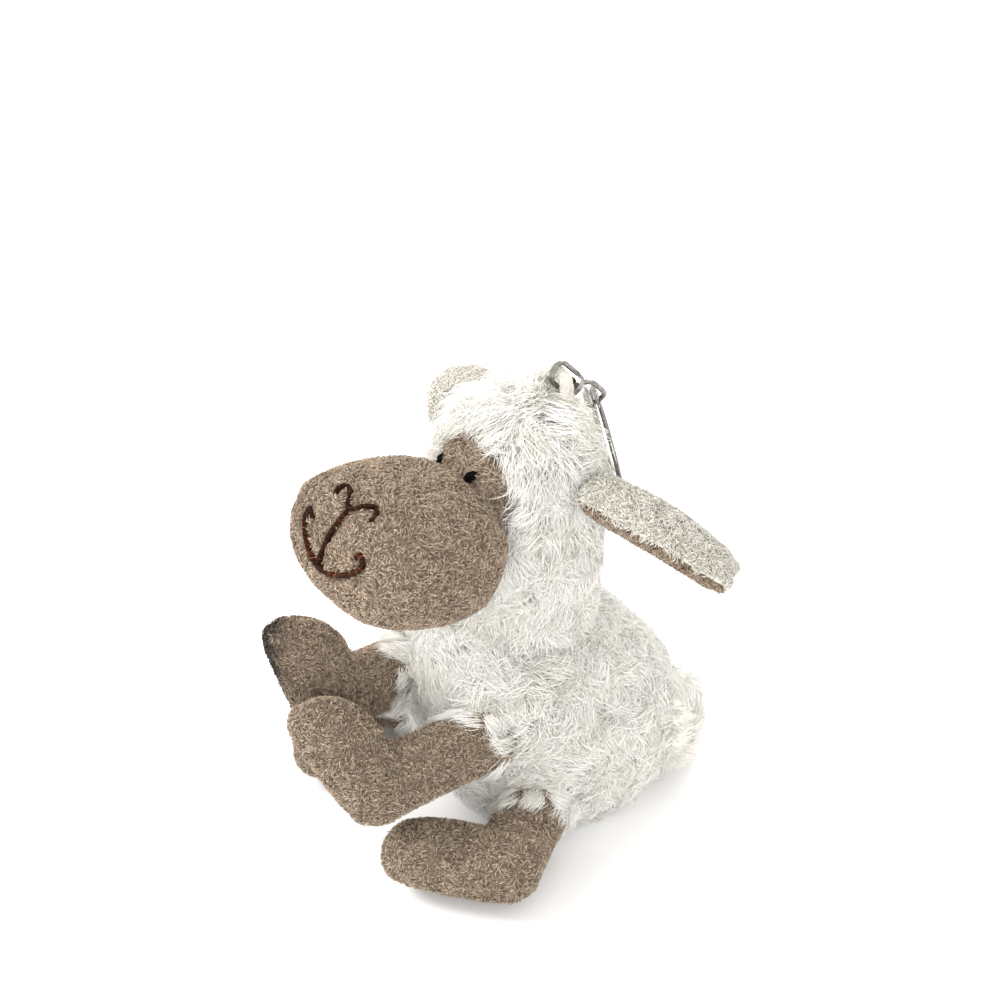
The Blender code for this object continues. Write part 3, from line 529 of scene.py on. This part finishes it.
def long_fur(name, skin, count, look, chance, sizes, flow, keep_out, keep=None, drape=(), root=None):
    """Locks of long fur: strands of one lock lean together and curl the same way."""
    length, lift, clump = sizes
    spots, normals = scatter(skin, count, chance)
    if root is not None:
        rooted = root(spots)
        spots, normals = spots[rooted], normals[rooted]
    order = chance.permutation(len(spots))
    heads = order[spread(spots[order], LOCK_SPACING)]
    lock = nearest(spots, spots[heads])
    headings = flow(spots[heads], normals[heads])
    curls = chance.normal(0, LOCK_CURL, len(heads))
    lengths = chance.uniform(*LOCK_LENGTH_SHARES, len(heads)) * length
    lifts = chance.uniform(*LOCK_LIFT_SHARES, len(heads)) * lift
    leans = chance.uniform(*LOCK_LEAN_SHARES, len(heads)) * clump
    own = len(spots)
    heading = unit(flat(headings[lock], normals) + SLIGHT_NUDGE)
    heading = unit(heading + flat(chance.normal(0, STRAND_STRAY, (own, 3)), normals))
    stations = np.array(FUR_STATION_SHARES)
    curl = curls[lock] + chance.normal(0, STRAND_CURL, own)
    curl = np.where(np.abs(curl) < LEAST_CURL, LEAST_CURL, curl)
    reach = lengths[lock] * chance.uniform(*STRAND_LENGTH_SHARES, own)
    rise = lifts[lock] * chance.uniform(*STRAND_LIFT_SHARES, own)
    lifted = rise[:, None] * np.sin(np.minimum(stations * RISE_RATE, 1) * QUARTER_TURN)
    height = lifted - rise[:, None] * SAG_SHARE * stations**3
    drawn = (spots[heads][lock] - spots) * leans[lock][:, None]
    frizz = chance.normal(0, FRIZZ, (own, len(stations), 3)) * stations[None, :, None]
    paths = laid_out(spots, normals, heading, reach, curl, stations, height)
    paths = paths + drawn[:, None, :] * (stations**LEAN_POWER)[None, :, None] + frizz
    fine = chance.uniform(*STRAND_WIDTH_SHARES, own)[:, None] * FUR_RADIUS
    radii = fine * np.array(FUR_TAPER_SHARES)[None, :]
    for station in (1, 2, 3):
        paths[:, station] = laid_on(paths[:, station], drape)
    free = np.ones(own, bool)
    for station in (2, 3):
        free &= distances(paths[:, station], keep_out, NEAR_REACH) > -FUR_SINK
    if keep is not None:
        free &= keep(paths[:, -1]) | (chance.random(own) < STRAY_SHARE)
    tones = chance.normal(FUR_TONE, LOCK_TONE_SPREAD, len(heads))[lock]
    tones = np.clip(tones + chance.normal(0, STRAND_TONE_SPREAD, own), 0, 1)
    return strands(name, paths[free], radii[free], tones[free], look)


def short_pile(name, skin, count, look, chance, sizes, keep_out, keep=None, darken=None):
    """Short curly pile: each tuft leans its own way and bends over."""
    length, lift, thickness = sizes
    spots, normals = scatter(skin, count, chance)
    free = distances(spots, keep_out, NEAR_REACH) > PILE_GAP
    if keep is not None:
        free &= keep(spots, normals)
    spots, normals = spots[free], normals[free]
    own = len(spots)
    sway = np.array([noise_vector(Vector(spot) / PILE_SWAY_SIZE) for spot in spots])
    heading = unit(flat(sway + chance.normal(0, PILE_STRAY, (own, 3)), normals))
    stations = np.array(PILE_STATION_SHARES)
    curl = chance.uniform(*PILE_CURLS, own) * np.where(chance.random(own) < 0.5, -1, 1)
    reach = chance.uniform(*PILE_LENGTH_SHARES, own) * length
    rise = chance.uniform(*PILE_LIFT_SHARES, own) * lift
    height = rise[:, None] * np.array(PILE_BEND_SHARES)
    paths = laid_out(spots, normals, heading, reach, curl, stations, height)
    fine = chance.uniform(*PILE_WIDTH_SHARES, own)[:, None] * thickness
    radii = fine * np.array(PILE_TAPER_SHARES)[None, :]
    tones = np.clip(chance.normal(PILE_TONE, PILE_TONE_SPREAD, own), PILE_LEAST_TONE, 1)
    if darken is not None:
        tones *= darken(spots)
    return strands(name, paths, radii, tones, look)


# Materials

def material(name, roughness, sheen=0.0, metallic=0.0, gloss=0.5):
    look = bpy.data.materials.new(name)
    look.use_nodes = True
    shader = look.node_tree.nodes["Principled BSDF"]
    shader.inputs["Roughness"].default_value = roughness
    shader.inputs["Metallic"].default_value = metallic
    shader.inputs["Sheen Weight"].default_value = sheen
    shader.inputs["Sheen Roughness"].default_value = 0.5
    shader.inputs["Specular IOR Level"].default_value = gloss
    return look, look.node_tree, shader


def ramp(tree, source, stops):
    node = tree.nodes.new("ShaderNodeValToRGB")
    while len(node.color_ramp.elements) < len(stops):
        node.color_ramp.elements.new(0.5)
    for element, (place, colour) in zip(node.color_ramp.elements, stops):
        element.position = place
        element.color = (*colour, 1)
    tree.links.new(source, node.inputs["Fac"])
    return node.outputs["Color"]


def noise(tree, scale, detail=3.0, roughness=0.6):
    place = tree.nodes.new("ShaderNodeTexCoord")
    node = tree.nodes.new("ShaderNodeTexNoise")
    node.inputs["Scale"].default_value = scale
    node.inputs["Detail"].default_value = detail
    node.inputs["Roughness"].default_value = roughness
    tree.links.new(place.outputs["Object"], node.inputs["Vector"])
    return node.outputs["Fac"]


def multiplied(tree, first, second):
    """Product of two colours."""
    node = tree.nodes.new("ShaderNodeMix")
    node.data_type = "RGBA"
    node.blend_type = "MULTIPLY"
    node.inputs["Factor"].default_value = 1
    tree.links.new(first, node.inputs["A"])
    tree.links.new(second, node.inputs["B"])
    return node.outputs["Result"]


def attribute(tree, name):
    node = tree.nodes.new("ShaderNodeAttribute")
    node.attribute_name = name
    return node.outputs["Fac"]


def bump(tree, shader, height, strength, distance):
    node = tree.nodes.new("ShaderNodeBump")
    node.inputs["Strength"].default_value = strength
    node.inputs["Distance"].default_value = distance
    tree.links.new(height, node.inputs["Height"])
    tree.links.new(node.outputs["Normal"], shader.inputs["Normal"])


def strand_look(name, root_shade, tones, blotches, roughness, sheen, gloss=0.2):
    """Strand colour by its own tone, darkened towards the root as painted shade between strands, with
    wide soft blotches over the whole coat.
    """
    look, tree, shader = material(name, roughness, sheen, 0.0, gloss)
    tone = ramp(tree, attribute(tree, "tone"), tones)
    # Painted shade: the reach ramp darkens each strand towards its root, where shade falls between
    # strands
    depth = ramp(tree, attribute(tree, "reach"), root_shade)
    patch = ramp(tree, noise(tree, BLOTCH_SCALE), blotches)
    colour = multiplied(tree, multiplied(tree, tone, depth), patch)
    tree.links.new(colour, shader.inputs["Base Color"])
    return look


def cloth_look(name, dark, light, scale, sheen, depth):
    """Cloth under pile: fine mottled colour with a fibrous bump."""
    look, tree, shader = material(name, 0.9, sheen)
    grain = noise(tree, scale, 5.0, 0.7)
    colour = ramp(tree, grain, [(0.3, dark), (0.7, light)])
    tree.links.new(colour, shader.inputs["Base Color"])
    bump(tree, shader, grain, 0.8, depth)
    return look


def cord_look(name, dark, light):
    """Smooth cotton cord with fine fibres."""
    look, tree, shader = material(name, 0.45, 0.2)
    fibres = noise(tree, CORD_GRAIN_SCALE)
    tree.links.new(ramp(tree, fibres, [(0.35, dark), (0.7, light)]), shader.inputs["Base Color"])
    bump(tree, shader, fibres, 0.5, CORD_RELIEF)
    return look


def nickel_look(name):
    """Polished nickel, its colour set darker than nickel's own, in patches, as painted dark reflections;
    the lighter patches are grey smears that are duller than the rest.
    """
    look, tree, shader = material(name, 0.2, 0.0, 1.0)
    smears_and_painted_reflections = noise(tree, SMEAR_SCALE, 4.0)
    # Painted reflection: these dark greys stand in for darker surroundings mirrored in the metal
    colour = ramp(tree, smears_and_painted_reflections, [(0.3, (0.20, 0.19, 0.175)), (0.7, (0.42, 0.405, 0.38))])
    tree.links.new(colour, shader.inputs["Base Color"])
    rough = tree.nodes.new("ShaderNodeMapRange")
    rough.inputs["To Min"].default_value = 0.12
    rough.inputs["To Max"].default_value = 0.30
    tree.links.new(smears_and_painted_reflections, rough.inputs["Value"])
    tree.links.new(rough.outputs["Result"], shader.inputs["Roughness"])
    return look


WHITE = (1.0, 1.0, 1.0)
SAME_ALONG = [(0.0, WHITE), (1.0, WHITE)]
NO_BLOTCHES = [(0.35, WHITE), (0.6, WHITE)]

# In each strand look the first ramp is painted shade, darker towards the root; SAME_ALONG means none
fur_look = strand_look(
    "white_fur_strands",
    [(0.0, (0.98, 0.97, 0.94)), (0.4, WHITE)],
    [(0.0, (0.95, 0.935, 0.89)), (0.4, (0.975, 0.965, 0.93)), (1.0, (0.99, 0.985, 0.965))],
    [(0.35, (0.985, 0.97, 0.925)), (0.6, WHITE)],
    0.8, 0.3,
)
taupe_look = strand_look(
    "taupe_pile_strands",
    [(0.0, (0.55, 0.52, 0.50)), (0.7, WHITE)],
    [(0.0, (0.022, 0.015, 0.010)), (0.12, (0.216, 0.157, 0.107)), (0.5, (0.448, 0.344, 0.248)),
     (1.0, (0.75, 0.612, 0.47))],
    [(0.35, (0.90, 0.89, 0.88)), (0.6, WHITE)],
    0.8, 0.15,
)
pale_look = strand_look(
    "offwhite_pile_strands",
    [(0.0, (0.80, 0.78, 0.74)), (0.6, WHITE)],
    [(0.0, (0.54, 0.51, 0.45)), (0.5, (0.75, 0.73, 0.66)), (1.0, (0.90, 0.88, 0.82))],
    [(0.35, (0.95, 0.94, 0.92)), (0.6, WHITE)],
    0.8, 0.25,
)
fur_cloth = cloth_look(
    "white_fur_ground", (0.90, 0.885, 0.84), (0.95, 0.94, 0.91), FUR_GRAIN_SCALE, 0.3, CLOTH_RELIEF,
)
# Taupe cloth colour, painted darker than the pile on it as shade in the gaps between tufts
taupe_cloth = cloth_look(
    "taupe_ground", (0.151, 0.110, 0.078), (0.302, 0.230, 0.166), PLUSH_GRAIN_SCALE, 0.1, CLOTH_RELIEF,
)
pale_cloth = cloth_look(
    "offwhite_ground", (0.60, 0.58, 0.51), (0.74, 0.72, 0.65), PLUSH_GRAIN_SCALE, 0.2, PALE_RELIEF,
)
black_thread = strand_look(
    "black_thread",
    SAME_ALONG,
    [(0.0, (0.002, 0.002, 0.002)), (1.0, (0.008, 0.0075, 0.007))],
    NO_BLOTCHES,
    0.6, 0.0, 0.02,
)
brown_thread = strand_look(
    "brown_thread",
    SAME_ALONG,
    # Dark brown thread; the orange-brown end of this ramp is a painted highlight for glints on the satin
    # stitches
    [(0.0, (0.012, 0.004, 0.0015)), (0.55, (0.045, 0.012, 0.004)), (1.0, (0.30, 0.09, 0.025))],
    NO_BLOTCHES,
    0.5, 0.0, 0.1,
)
fuzz_look = strand_look(
    "cord_fuzz",
    SAME_ALONG,
    [(0.0, (0.83, 0.80, 0.72)), (1.0, (0.93, 0.91, 0.85))],
    NO_BLOTCHES,
    0.8, 0.2,
)
cord = cord_look("cream_cord", (0.70, 0.66, 0.58), (0.86, 0.84, 0.78))
nickel = nickel_look("nickel")


def dress(item, look, body, *nodes, fill=None, slot=None):
    """Gives a piece its material and its body, and hides the CAD nodes that it stands for."""
    if look is not None:
        item.data.materials.clear()
        item.data.materials.append(look)
    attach(item, body)
    if nodes:
        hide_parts(*nodes)


# Skins of every stuffed part

LIMBS = ("left_arm", "right_arm", "left_leg", "right_leg")
limb_skins = {
    name: skin_of(name + "_skin", name + "_filling", LIMB_VOXEL, LIMB_SMOOTHING, grow=SHORT_CLOTH)
    for name in LIMBS
}
body_skin = skin_of("body_skin", "body_cover", BODY_VOXEL, BODY_SMOOTHING, "body_filling")
head_skin = skin_of("head_skin", "head_cover", BODY_VOXEL, BODY_SMOOTHING, "head_filling")
muzzle_skin = skin_of("muzzle_skin", "muzzle_filling", LIMB_VOXEL, MUZZLE_SMOOTHING, grow=SHORT_CLOTH)
panel_skin = skin_of("face_panel_skin", "face_panel", EAR_VOXEL, PANEL_SMOOTHING)
tail_skin = skin_of("tail_skin", "tail", LIMB_VOXEL, BODY_SMOOTHING)

limb_trees = [tree_of(skin.data) for skin in limb_skins.values()]
limb_middles = [np.array(middle_of(name + "_filling")) for name in LIMBS]
body_tree = tree_of(body_skin.data)
head_tree = tree_of(head_skin.data)
muzzle_tree = tree_of(muzzle_skin.data)
panel_tree = tree_of(panel_skin.data)


def undercoat(skin, sizes, keep_out):
    """Moves a skin in or out with soft lumps, but not out where it lies close to another part."""
    depth, lumps = sizes
    points = places(skin.data)
    gaps = distances(points, keep_out, UNDERCOAT_FADE)
    share = np.clip(gaps / UNDERCOAT_FADE, 0, 1) ** 2
    waves = np.array([noise_at(Vector(point) / LUMP_SIZE) for point in points])
    moves = depth + waves * lumps
    moves = np.where(moves > 0, moves * share, moves)
    move_to(skin.data, points + outward(skin.data) * moves[:, None])


undercoat(body_skin, BODY_UNDERCOAT, limb_trees + [head_tree, muzzle_tree])
undercoat(head_skin, HEAD_UNDERCOAT, [body_tree, muzzle_tree, panel_tree])
undercoat(tail_skin, TAIL_UNDERCOAT, [])

dress(
    body_skin, fur_cloth, "torso", "body_cover", "body_filling",
    fill=STUFFED_FILL_SHARE, slot="white_fur",
)
dress(
    head_skin, fur_cloth, "head", "head_cover", "head_filling",
    fill=STUFFED_FILL_SHARE, slot="white_fur",
)
dress(
    muzzle_skin, taupe_cloth, "head", "muzzle_cover", "muzzle_filling",
    fill=STUFFED_FILL_SHARE, slot="taupe_plush",
)
dress(panel_skin, taupe_cloth, "head", "face_panel", slot="taupe_plush")
dress(tail_skin, fur_cloth, "torso", "tail", fill=TAIL_FILL_SHARE, slot="white_fur")
for name, skin in limb_skins.items():
    dress(
        skin, taupe_cloth, name, name + "_cover", name + "_filling",
        fill=STUFFED_FILL_SHARE, slot="taupe_plush",
    )

# Long fur on body, head and tail

head_centre = np.array(middle_of("head_filling"))
head_up = np.array(HEAD_TURN @ Z_AXIS)
loop_middle = np.array(middle_of("hanging_loop"))
body_middle = np.array(middle_of("body_filling"))


def combed(points, normals, heading):
    """Directions that turn towards a limb's middle near it, so that the fur covers the limb's root."""
    for tree, centre in zip(limb_trees, limb_middles):
        gaps = distances(points, [tree], COMB_REACH)
        share = np.clip(1 - gaps / COMB_REACH, 0, 1)[:, None]
        outwards = unit(flat(centre - points, normals))
        heading = unit(heading * (1 - share) + outwards * share * COMB_PULL)
    return heading


def body_flow(chance):
    """Spirals drawn down the body, combed out where a limb starts."""
    def flow(points, normals):
        down = np.array([0, 0, -BODY_PULL])
        heading = swirl(points, normals, chance, ROSETTE_SPACING, down, BODY_SPIRAL)
        return combed(points, normals, heading)
    return flow


def head_flow(chance):
    """Spirals drawn down the head, along its own upright."""
    def flow(points, normals):
        return swirl(points, normals, chance, ROSETTE_SPACING, -head_up * HEAD_PULL, HEAD_SPIRAL)
    return flow


def collar_flow(chance, outwards):
    """Fur that points from the body's middle to a limb's."""
    def flow(points, normals):
        aim = unit(flat(np.broadcast_to(outwards, normals.shape), normals))
        return unit(aim + flat(chance.normal(0, COLLAR_STRAY, normals.shape), normals))
    return flow


def crown_flow(chance):
    """Fur that points away from the cord loop."""
    def flow(points, normals):
        aside = unit(flat(points - loop_middle, normals))
        return unit(aside + flat(chance.normal(0, CROWN_STRAY, normals.shape), normals))
    return flow


def near_the_body(points):
    """Whether places on a limb lie close enough to the body for its collar of fur."""
    return distances(points, [body_tree], COLLAR_REACH * 2) < COLLAR_REACH


def on_the_crown(points):
    """Whether places on the head lie round the sewn ends of the cord loop."""
    return np.linalg.norm(points - loop_middle, axis=1) < CROWN_REACH


face_aim = np.array(HEAD_TURN @ Vector((0, -math.cos(FACE_AIM), math.sin(FACE_AIM))))


def off_the_face(points):
    """Whether points lie outside the round opening that shows the face panel."""
    reach = points - head_centre
    along = reach @ face_aim
    aside = np.linalg.norm(reach - along[:, None] * face_aim, axis=1)
    return (along < 0) | (aside > FACE_OPENING_RADIUS)


for part in range(BODY_FUR_PIECES):
    chance = np.random.default_rng(BODY_SEED + part)
    piece = long_fur(
        f"body_fur_{part + 1}", body_skin.data, FUR_COUNT, fur_look, chance, BODY_FUR,
        body_flow(chance), [head_tree, muzzle_tree], drape=limb_trees,
    )
    dress(piece, None, "torso", slot="white_fur")

for index, (name, skin) in enumerate(limb_skins.items()):
    chance = np.random.default_rng(COLLAR_SEED + index)
    piece = long_fur(
        name + "_collar_fur", skin.data, COLLAR_FUR_COUNT, fur_look, chance, COLLAR_FUR,
        collar_flow(chance, limb_middles[index] - body_middle), [head_tree, muzzle_tree],
        root=near_the_body,
    )
    dress(piece, None, "torso", slot="white_fur")

for part in range(HEAD_FUR_PIECES):
    chance = np.random.default_rng(HEAD_SEED + part)
    piece = long_fur(
        f"head_fur_{part + 1}", head_skin.data, FUR_COUNT, fur_look, chance, HEAD_FUR,
        head_flow(chance), [muzzle_tree, panel_tree, body_tree], off_the_face,
    )
    dress(piece, None, "head", slot="white_fur")

chance = np.random.default_rng(CROWN_SEED)
crown_fur = long_fur(
    "crown_fur", head_skin.data, FUR_COUNT, fur_look, chance, CROWN_FUR, crown_flow(chance), [],
    root=on_the_crown,
)
dress(crown_fur, None, "head", slot="white_fur")

chance = np.random.default_rng(TAIL_SEED)
tail_fur = long_fur(
    "tail_fur", tail_skin.data, TAIL_FUR_COUNT, fur_look, chance, TAIL_FUR,
    body_flow(chance), [body_tree],
)
dress(tail_fur, None, "torso", slot="white_fur")

# Short pile on limbs, muzzle and face panel

# The sway of all short pile comes from a noise that differs from run to run unless it's seeded
seed_set(SWAY_SEED)


def darker_toe_edge(spots):
    """Darker pile on the outer edge of the right arm's foot, the side furthest to the camera's left,
    fading towards the leg.
    """
    gaps = spots @ np.array(CAMERA_RIGHT)
    gaps = gaps - gaps.min()
    return np.clip((gaps - DARK_TOE_START) / DARK_TOE_FADE, DARK_TOE_SHARE, 1)


for index, (name, skin) in enumerate(limb_skins.items()):
    chance = np.random.default_rng(LIMB_SEED + index)
    piece = short_pile(
        name + "_pile", skin.data, LIMB_PILE_COUNT, taupe_look, chance, LIMB_PILE,
        [body_tree], darken=darker_toe_edge if name == "right_arm" else None,
    )
    dress(piece, None, name, slot="taupe_plush")


def on_cloth(pixels, trees):
    """Where the photograph's pixels fall on the nearest of some skins, and which way is out there."""
    points, normals = [], []
    for column, row in pixels:
        across = (column / PICTURE_PIXELS - 0.5) * PICTURE_WIDTH
        above = (0.5 - row / PICTURE_PIXELS) * PICTURE_WIDTH
        ray = CAMERA_TARGET + CAMERA_RIGHT * across + CAMERA_UP * above - CAMERA_PLACE
        hits = [tree.ray_cast(CAMERA_PLACE, ray.normalized()) for tree in trees]
        place, normal, _, _ = min((hit for hit in hits if hit[0]), key=lambda hit: hit[3])
        points.append(place)
        normals.append(normal)
    return points, normals


def on_curve(pixels, tree):
    """Evenly spaced places along a smooth line of stitches on a skin, and which way is out there."""
    points, _ = on_cloth(pixels, [tree])
    path = []
    for index in range(len(points) - 1):
        before = points[max(index - 1, 0)]
        start, end = points[index], points[index + 1]
        after = points[min(index + 2, len(points) - 1)]
        steps = max(1, round((end - start).length / THREAD_SPACING))
        for step in range(steps):
            share = step / steps
            leaving = (end - before) / 2 * share * (1 - share) ** 2
            arriving = (after - start) / 2 * share**2 * (1 - share)
            path.append(start.lerp(end, share * share * (3 - 2 * share)) + (leaving - arriving))
    found = [tree.find_nearest(point) for point in path]
    return np.array([hit[0] for hit in found]), np.array([hit[1] for hit in found])


stitch_lines = {
    "nose_stitch": (on_curve(NOSE_PIXELS, muzzle_tree), NOSE_HALF_WIDTH),
    "lip_stitch": (on_curve(PHILTRUM_PIXELS, muzzle_tree), PHILTRUM_HALF_WIDTH),
    "mouth_stitch": (on_curve(SMILE_PIXELS, muzzle_tree), SMILE_HALF_WIDTH),
}


def off_the_stitches(spots, normals):
    """Whether spots on the muzzle lie clear of the embroidery."""
    tree = KDTree(sum(len(points) for (points, _), _ in stitch_lines.values()))
    for (points, _), _ in stitch_lines.values():
        for point in points:
            tree.insert(point, 0)
    tree.balance()
    return np.array([tree.find(spot)[2] > STITCH_CLEARING for spot in spots])


for part in range(MUZZLE_PILE_PIECES):
    chance = np.random.default_rng(MUZZLE_SEED + part)
    piece = short_pile(
        f"muzzle_pile_{part + 1}", muzzle_skin.data, MUZZLE_PILE_COUNT, taupe_look, chance, MUZZLE_PILE,
        [head_tree], off_the_stitches,
    )
    dress(piece, None, "head", slot="taupe_plush")


def faces_out(spots, normals):
    """Whether spots on the face panel lie on its outer side and clear of the eyes."""
    reach = spots - head_centre
    outer = (reach * normals).sum(axis=1) > np.linalg.norm(reach, axis=1) / 2
    for pixels in (LEFT_EYE_PIXELS, RIGHT_EYE_PIXELS):
        ends, _ = on_cloth(pixels, [panel_tree, head_tree])
        eye = np.array((ends[0] + ends[1]) / 2)
        outer &= np.linalg.norm(spots - eye, axis=1) > EYE_CLEARING
    return outer


chance = np.random.default_rng(PANEL_SEED)
panel_pile = short_pile(
    "face_panel_pile", panel_skin.data, PANEL_PILE_COUNT, taupe_look, chance, PANEL_PILE,
    [muzzle_tree], faces_out,
)
dress(panel_pile, None, "head", slot="taupe_plush")

# Embroidery

def satin(name, starts, ends, normals, lift, look, chance):
    """Threads laid side by side, each from one place on the cloth to another and arched over it."""
    shares = np.array(SATIN_STATION_SHARES)
    arch = np.array(SATIN_ARCH_SHARES) * lift
    count = len(starts)
    paths = (
        starts[:, None, :] * (1 - shares)[None, :, None]
        + ends[:, None, :] * shares[None, :, None]
        + normals[:, None, :] * arch[None, :, None]
    )
    paths += chance.normal(0, THREAD_STRAY, paths.shape)
    fine = chance.uniform(*THREAD_WIDTH_SHARES, count)[:, None] * THREAD_RADIUS
    radii = fine * np.array(SATIN_TAPER_SHARES)[None, :]
    tones = np.clip(chance.normal(THREAD_TONE, THREAD_TONE_SPREAD, count), 0, 1)
    return strands(name, paths, radii, tones, look, THREAD_SIDES)


for index, (name, ((points, normals), half_width)) in enumerate(stitch_lines.items()):
    chance = np.random.default_rng(STITCH_SEED + index)
    along = unit(np.gradient(points, axis=0))
    aside = unit(np.cross(normals, along))
    own = len(points)
    widths = half_width * chance.uniform(*STITCH_WIDTH_SHARES, (own, 2))
    slant = along * half_width * SLANT_SHARE
    starts = points + aside * widths[:, :1] + slant
    ends = points - aside * widths[:, 1:] - slant
    piece = satin(name + "_thread", starts, ends, normals, THREAD_LIFT, brown_thread, chance)
    dress(piece, None, "head", name, slot="brown_thread")

for index, (name, pixels) in enumerate((("left_eye", LEFT_EYE_PIXELS), ("right_eye", RIGHT_EYE_PIXELS))):
    chance = np.random.default_rng(EYE_SEED + index)
    (low, high), faces = on_cloth(pixels, [panel_tree, head_tree])
    normal = (faces[0] + faces[1]).normalized()
    middle = (low + high) / 2
    along = ((high - low) - normal * (high - low).dot(normal)) / 2
    aside = normal.cross(along).normalized()
    count = round(2 * EYE_HALF_WIDTH / THREAD_SPACING)
    across = np.linspace(-EYE_EDGE_SHARE, EYE_EDGE_SHARE, count)
    reach = np.sqrt(1 - across**2) * chance.uniform(*EYE_LENGTH_SHARES, count)
    rows = np.array(middle) + across[:, None] * EYE_HALF_WIDTH * np.array(aside)
    starts = rows - reach[:, None] * np.array(along)
    ends = rows + reach[:, None] * np.array(along)
    normals = np.broadcast_to(np.array(normal), rows.shape)
    piece = satin(name + "_thread", starts, ends, normals, EYE_LIFT, black_thread, chance)
    dress(piece, None, "head", name, slot="black_thread")

# Ears: an off-white upper layer and a taupe underside

def turned_to(facing):
    """Whether spots on an ear's skin lie on the side that faces a direction, or on its rim."""
    def outside(spots, normals):
        return (normals * facing).sum(axis=1) > -EAR_RIM_SHARE
    return outside


for index, word in enumerate(("left", "right")):
    above = middle_of(word + "_ear_top")
    below = middle_of(word + "_ear_underside")
    facing = np.array((above - below).normalized())
    body = word + "_ear"
    for layer, ground, look, sign, grow, slot in (
        ("top", pale_cloth, pale_look, 1, EAR_PUFF, "pale_plush"),
        ("underside", taupe_cloth, taupe_look, -1, 0, "taupe_plush"),
    ):
        node = f"{word}_ear_{layer}"
        skin = skin_of(node + "_skin", node, EAR_VOXEL, EAR_SMOOTHING, grow=grow)
        dress(skin, ground, body, node, slot=slot)
        chance = np.random.default_rng(EAR_SEED + index * 2 + sign)
        piece = short_pile(
            node + "_pile", skin.data, EAR_PILE_COUNT, look, chance, EAR_PILE,
            [head_tree], turned_to(facing * sign),
        )
        dress(piece, None, body, slot=slot)

# Key hardware and cord loop

def smooth_wire(name, node):
    """Rounded copy of a CAD wire."""
    shape = loose_mesh(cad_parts[node])
    bmesh.ops.join_triangles(
        shape, faces=shape.faces, angle_face_threshold=FLAT_ENOUGH, angle_shape_threshold=FLAT_ENOUGH,
    )
    mesh = bpy.data.meshes.new(name)
    shape.to_mesh(mesh)
    shape.free()
    item = bpy.data.objects.new(name, mesh)
    bpy.context.scene.collection.objects.link(item)
    smoother = item.modifiers.new("smoother", "SUBSURF")
    smoother.levels = WIRE_LEVELS
    bake_modifiers(item)
    return item


dress(smooth_wire("split_ring_wire", "split_ring"), nickel, "split_ring", "split_ring", slot="nickel")
for node in ("swivel_eye", "swivel_link"):
    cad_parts[node].data.materials.clear()
    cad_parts[node].data.materials.append(nickel)

loop_skin = skin_of("hanging_loop_skin", "hanging_loop", EAR_VOXEL, EAR_SMOOTHING)
dress(loop_skin, cord, "head", "hanging_loop", slot="cord")
chance = np.random.default_rng(CORD_SEED)
loop_fuzz = short_pile(
    "hanging_loop_fuzz", loop_skin.data, CORD_FUZZ_COUNT, fuzz_look, chance, CORD_FUZZ, [head_tree],
)
dress(loop_fuzz, None, "head", slot="cord")

# Floor, light and camera

def floor():
    half = FLOOR_HALF_WIDTH
    corners = [(-half, -half, 0), (half, -half, 0), (half, half, 0), (-half, half, 0)]
    mesh = bpy.data.meshes.new("floor")
    mesh.from_pydata(corners, [], [(0, 1, 2, 3)])
    look, tree, shader = material("pale_floor", 0.9)
    grain = noise(tree, FLOOR_GRAIN_SCALE)
    colour = ramp(tree, grain, [(0.3, (0.90, 0.90, 0.90)), (0.7, (0.92, 0.92, 0.92))])
    tree.links.new(colour, shader.inputs["Base Color"])
    mesh.materials.append(look)
    item = bpy.data.objects.new("floor", mesh)
    bpy.context.scene.collection.objects.link(item)


def area_light(name, place, size, power):
    data = bpy.data.lights.new(name, "AREA")
    data.shape = "DISK"
    data.size = size
    data.energy = power
    item = bpy.data.objects.new(name, data)
    item.location = place
    item.rotation_euler = (CAMERA_TARGET - Vector(place)).to_track_quat("-Z", "Y").to_euler()
    bpy.context.scene.collection.objects.link(item)


def camera():
    data = bpy.data.cameras.new("camera")
    data.sensor_width = SENSOR_WIDTH
    data.lens = SENSOR_WIDTH * CAMERA_DISTANCE / PICTURE_WIDTH
    data.clip_start = CLIP_START
    item = bpy.data.objects.new("camera", data)
    turn = Matrix((CAMERA_RIGHT, CAMERA_UP, CAMERA_BACK)).transposed().to_4x4()
    item.matrix_world = Matrix.Translation(CAMERA_PLACE) @ turn
    bpy.context.scene.collection.objects.link(item)
    bpy.context.scene.camera = item


floor()
for name, (place, size, power) in LAMPS.items():
    area_light(name, place, size, power)
world = bpy.data.worlds.new("studio")
bpy.context.scene.world = world
world.use_nodes = True
world.node_tree.nodes["Background"].inputs["Color"].default_value = SKY_COLOUR
world.node_tree.nodes["Background"].inputs["Strength"].default_value = SKY_STRENGTH
bpy.context.scene.view_settings.view_transform = "Standard"
camera()
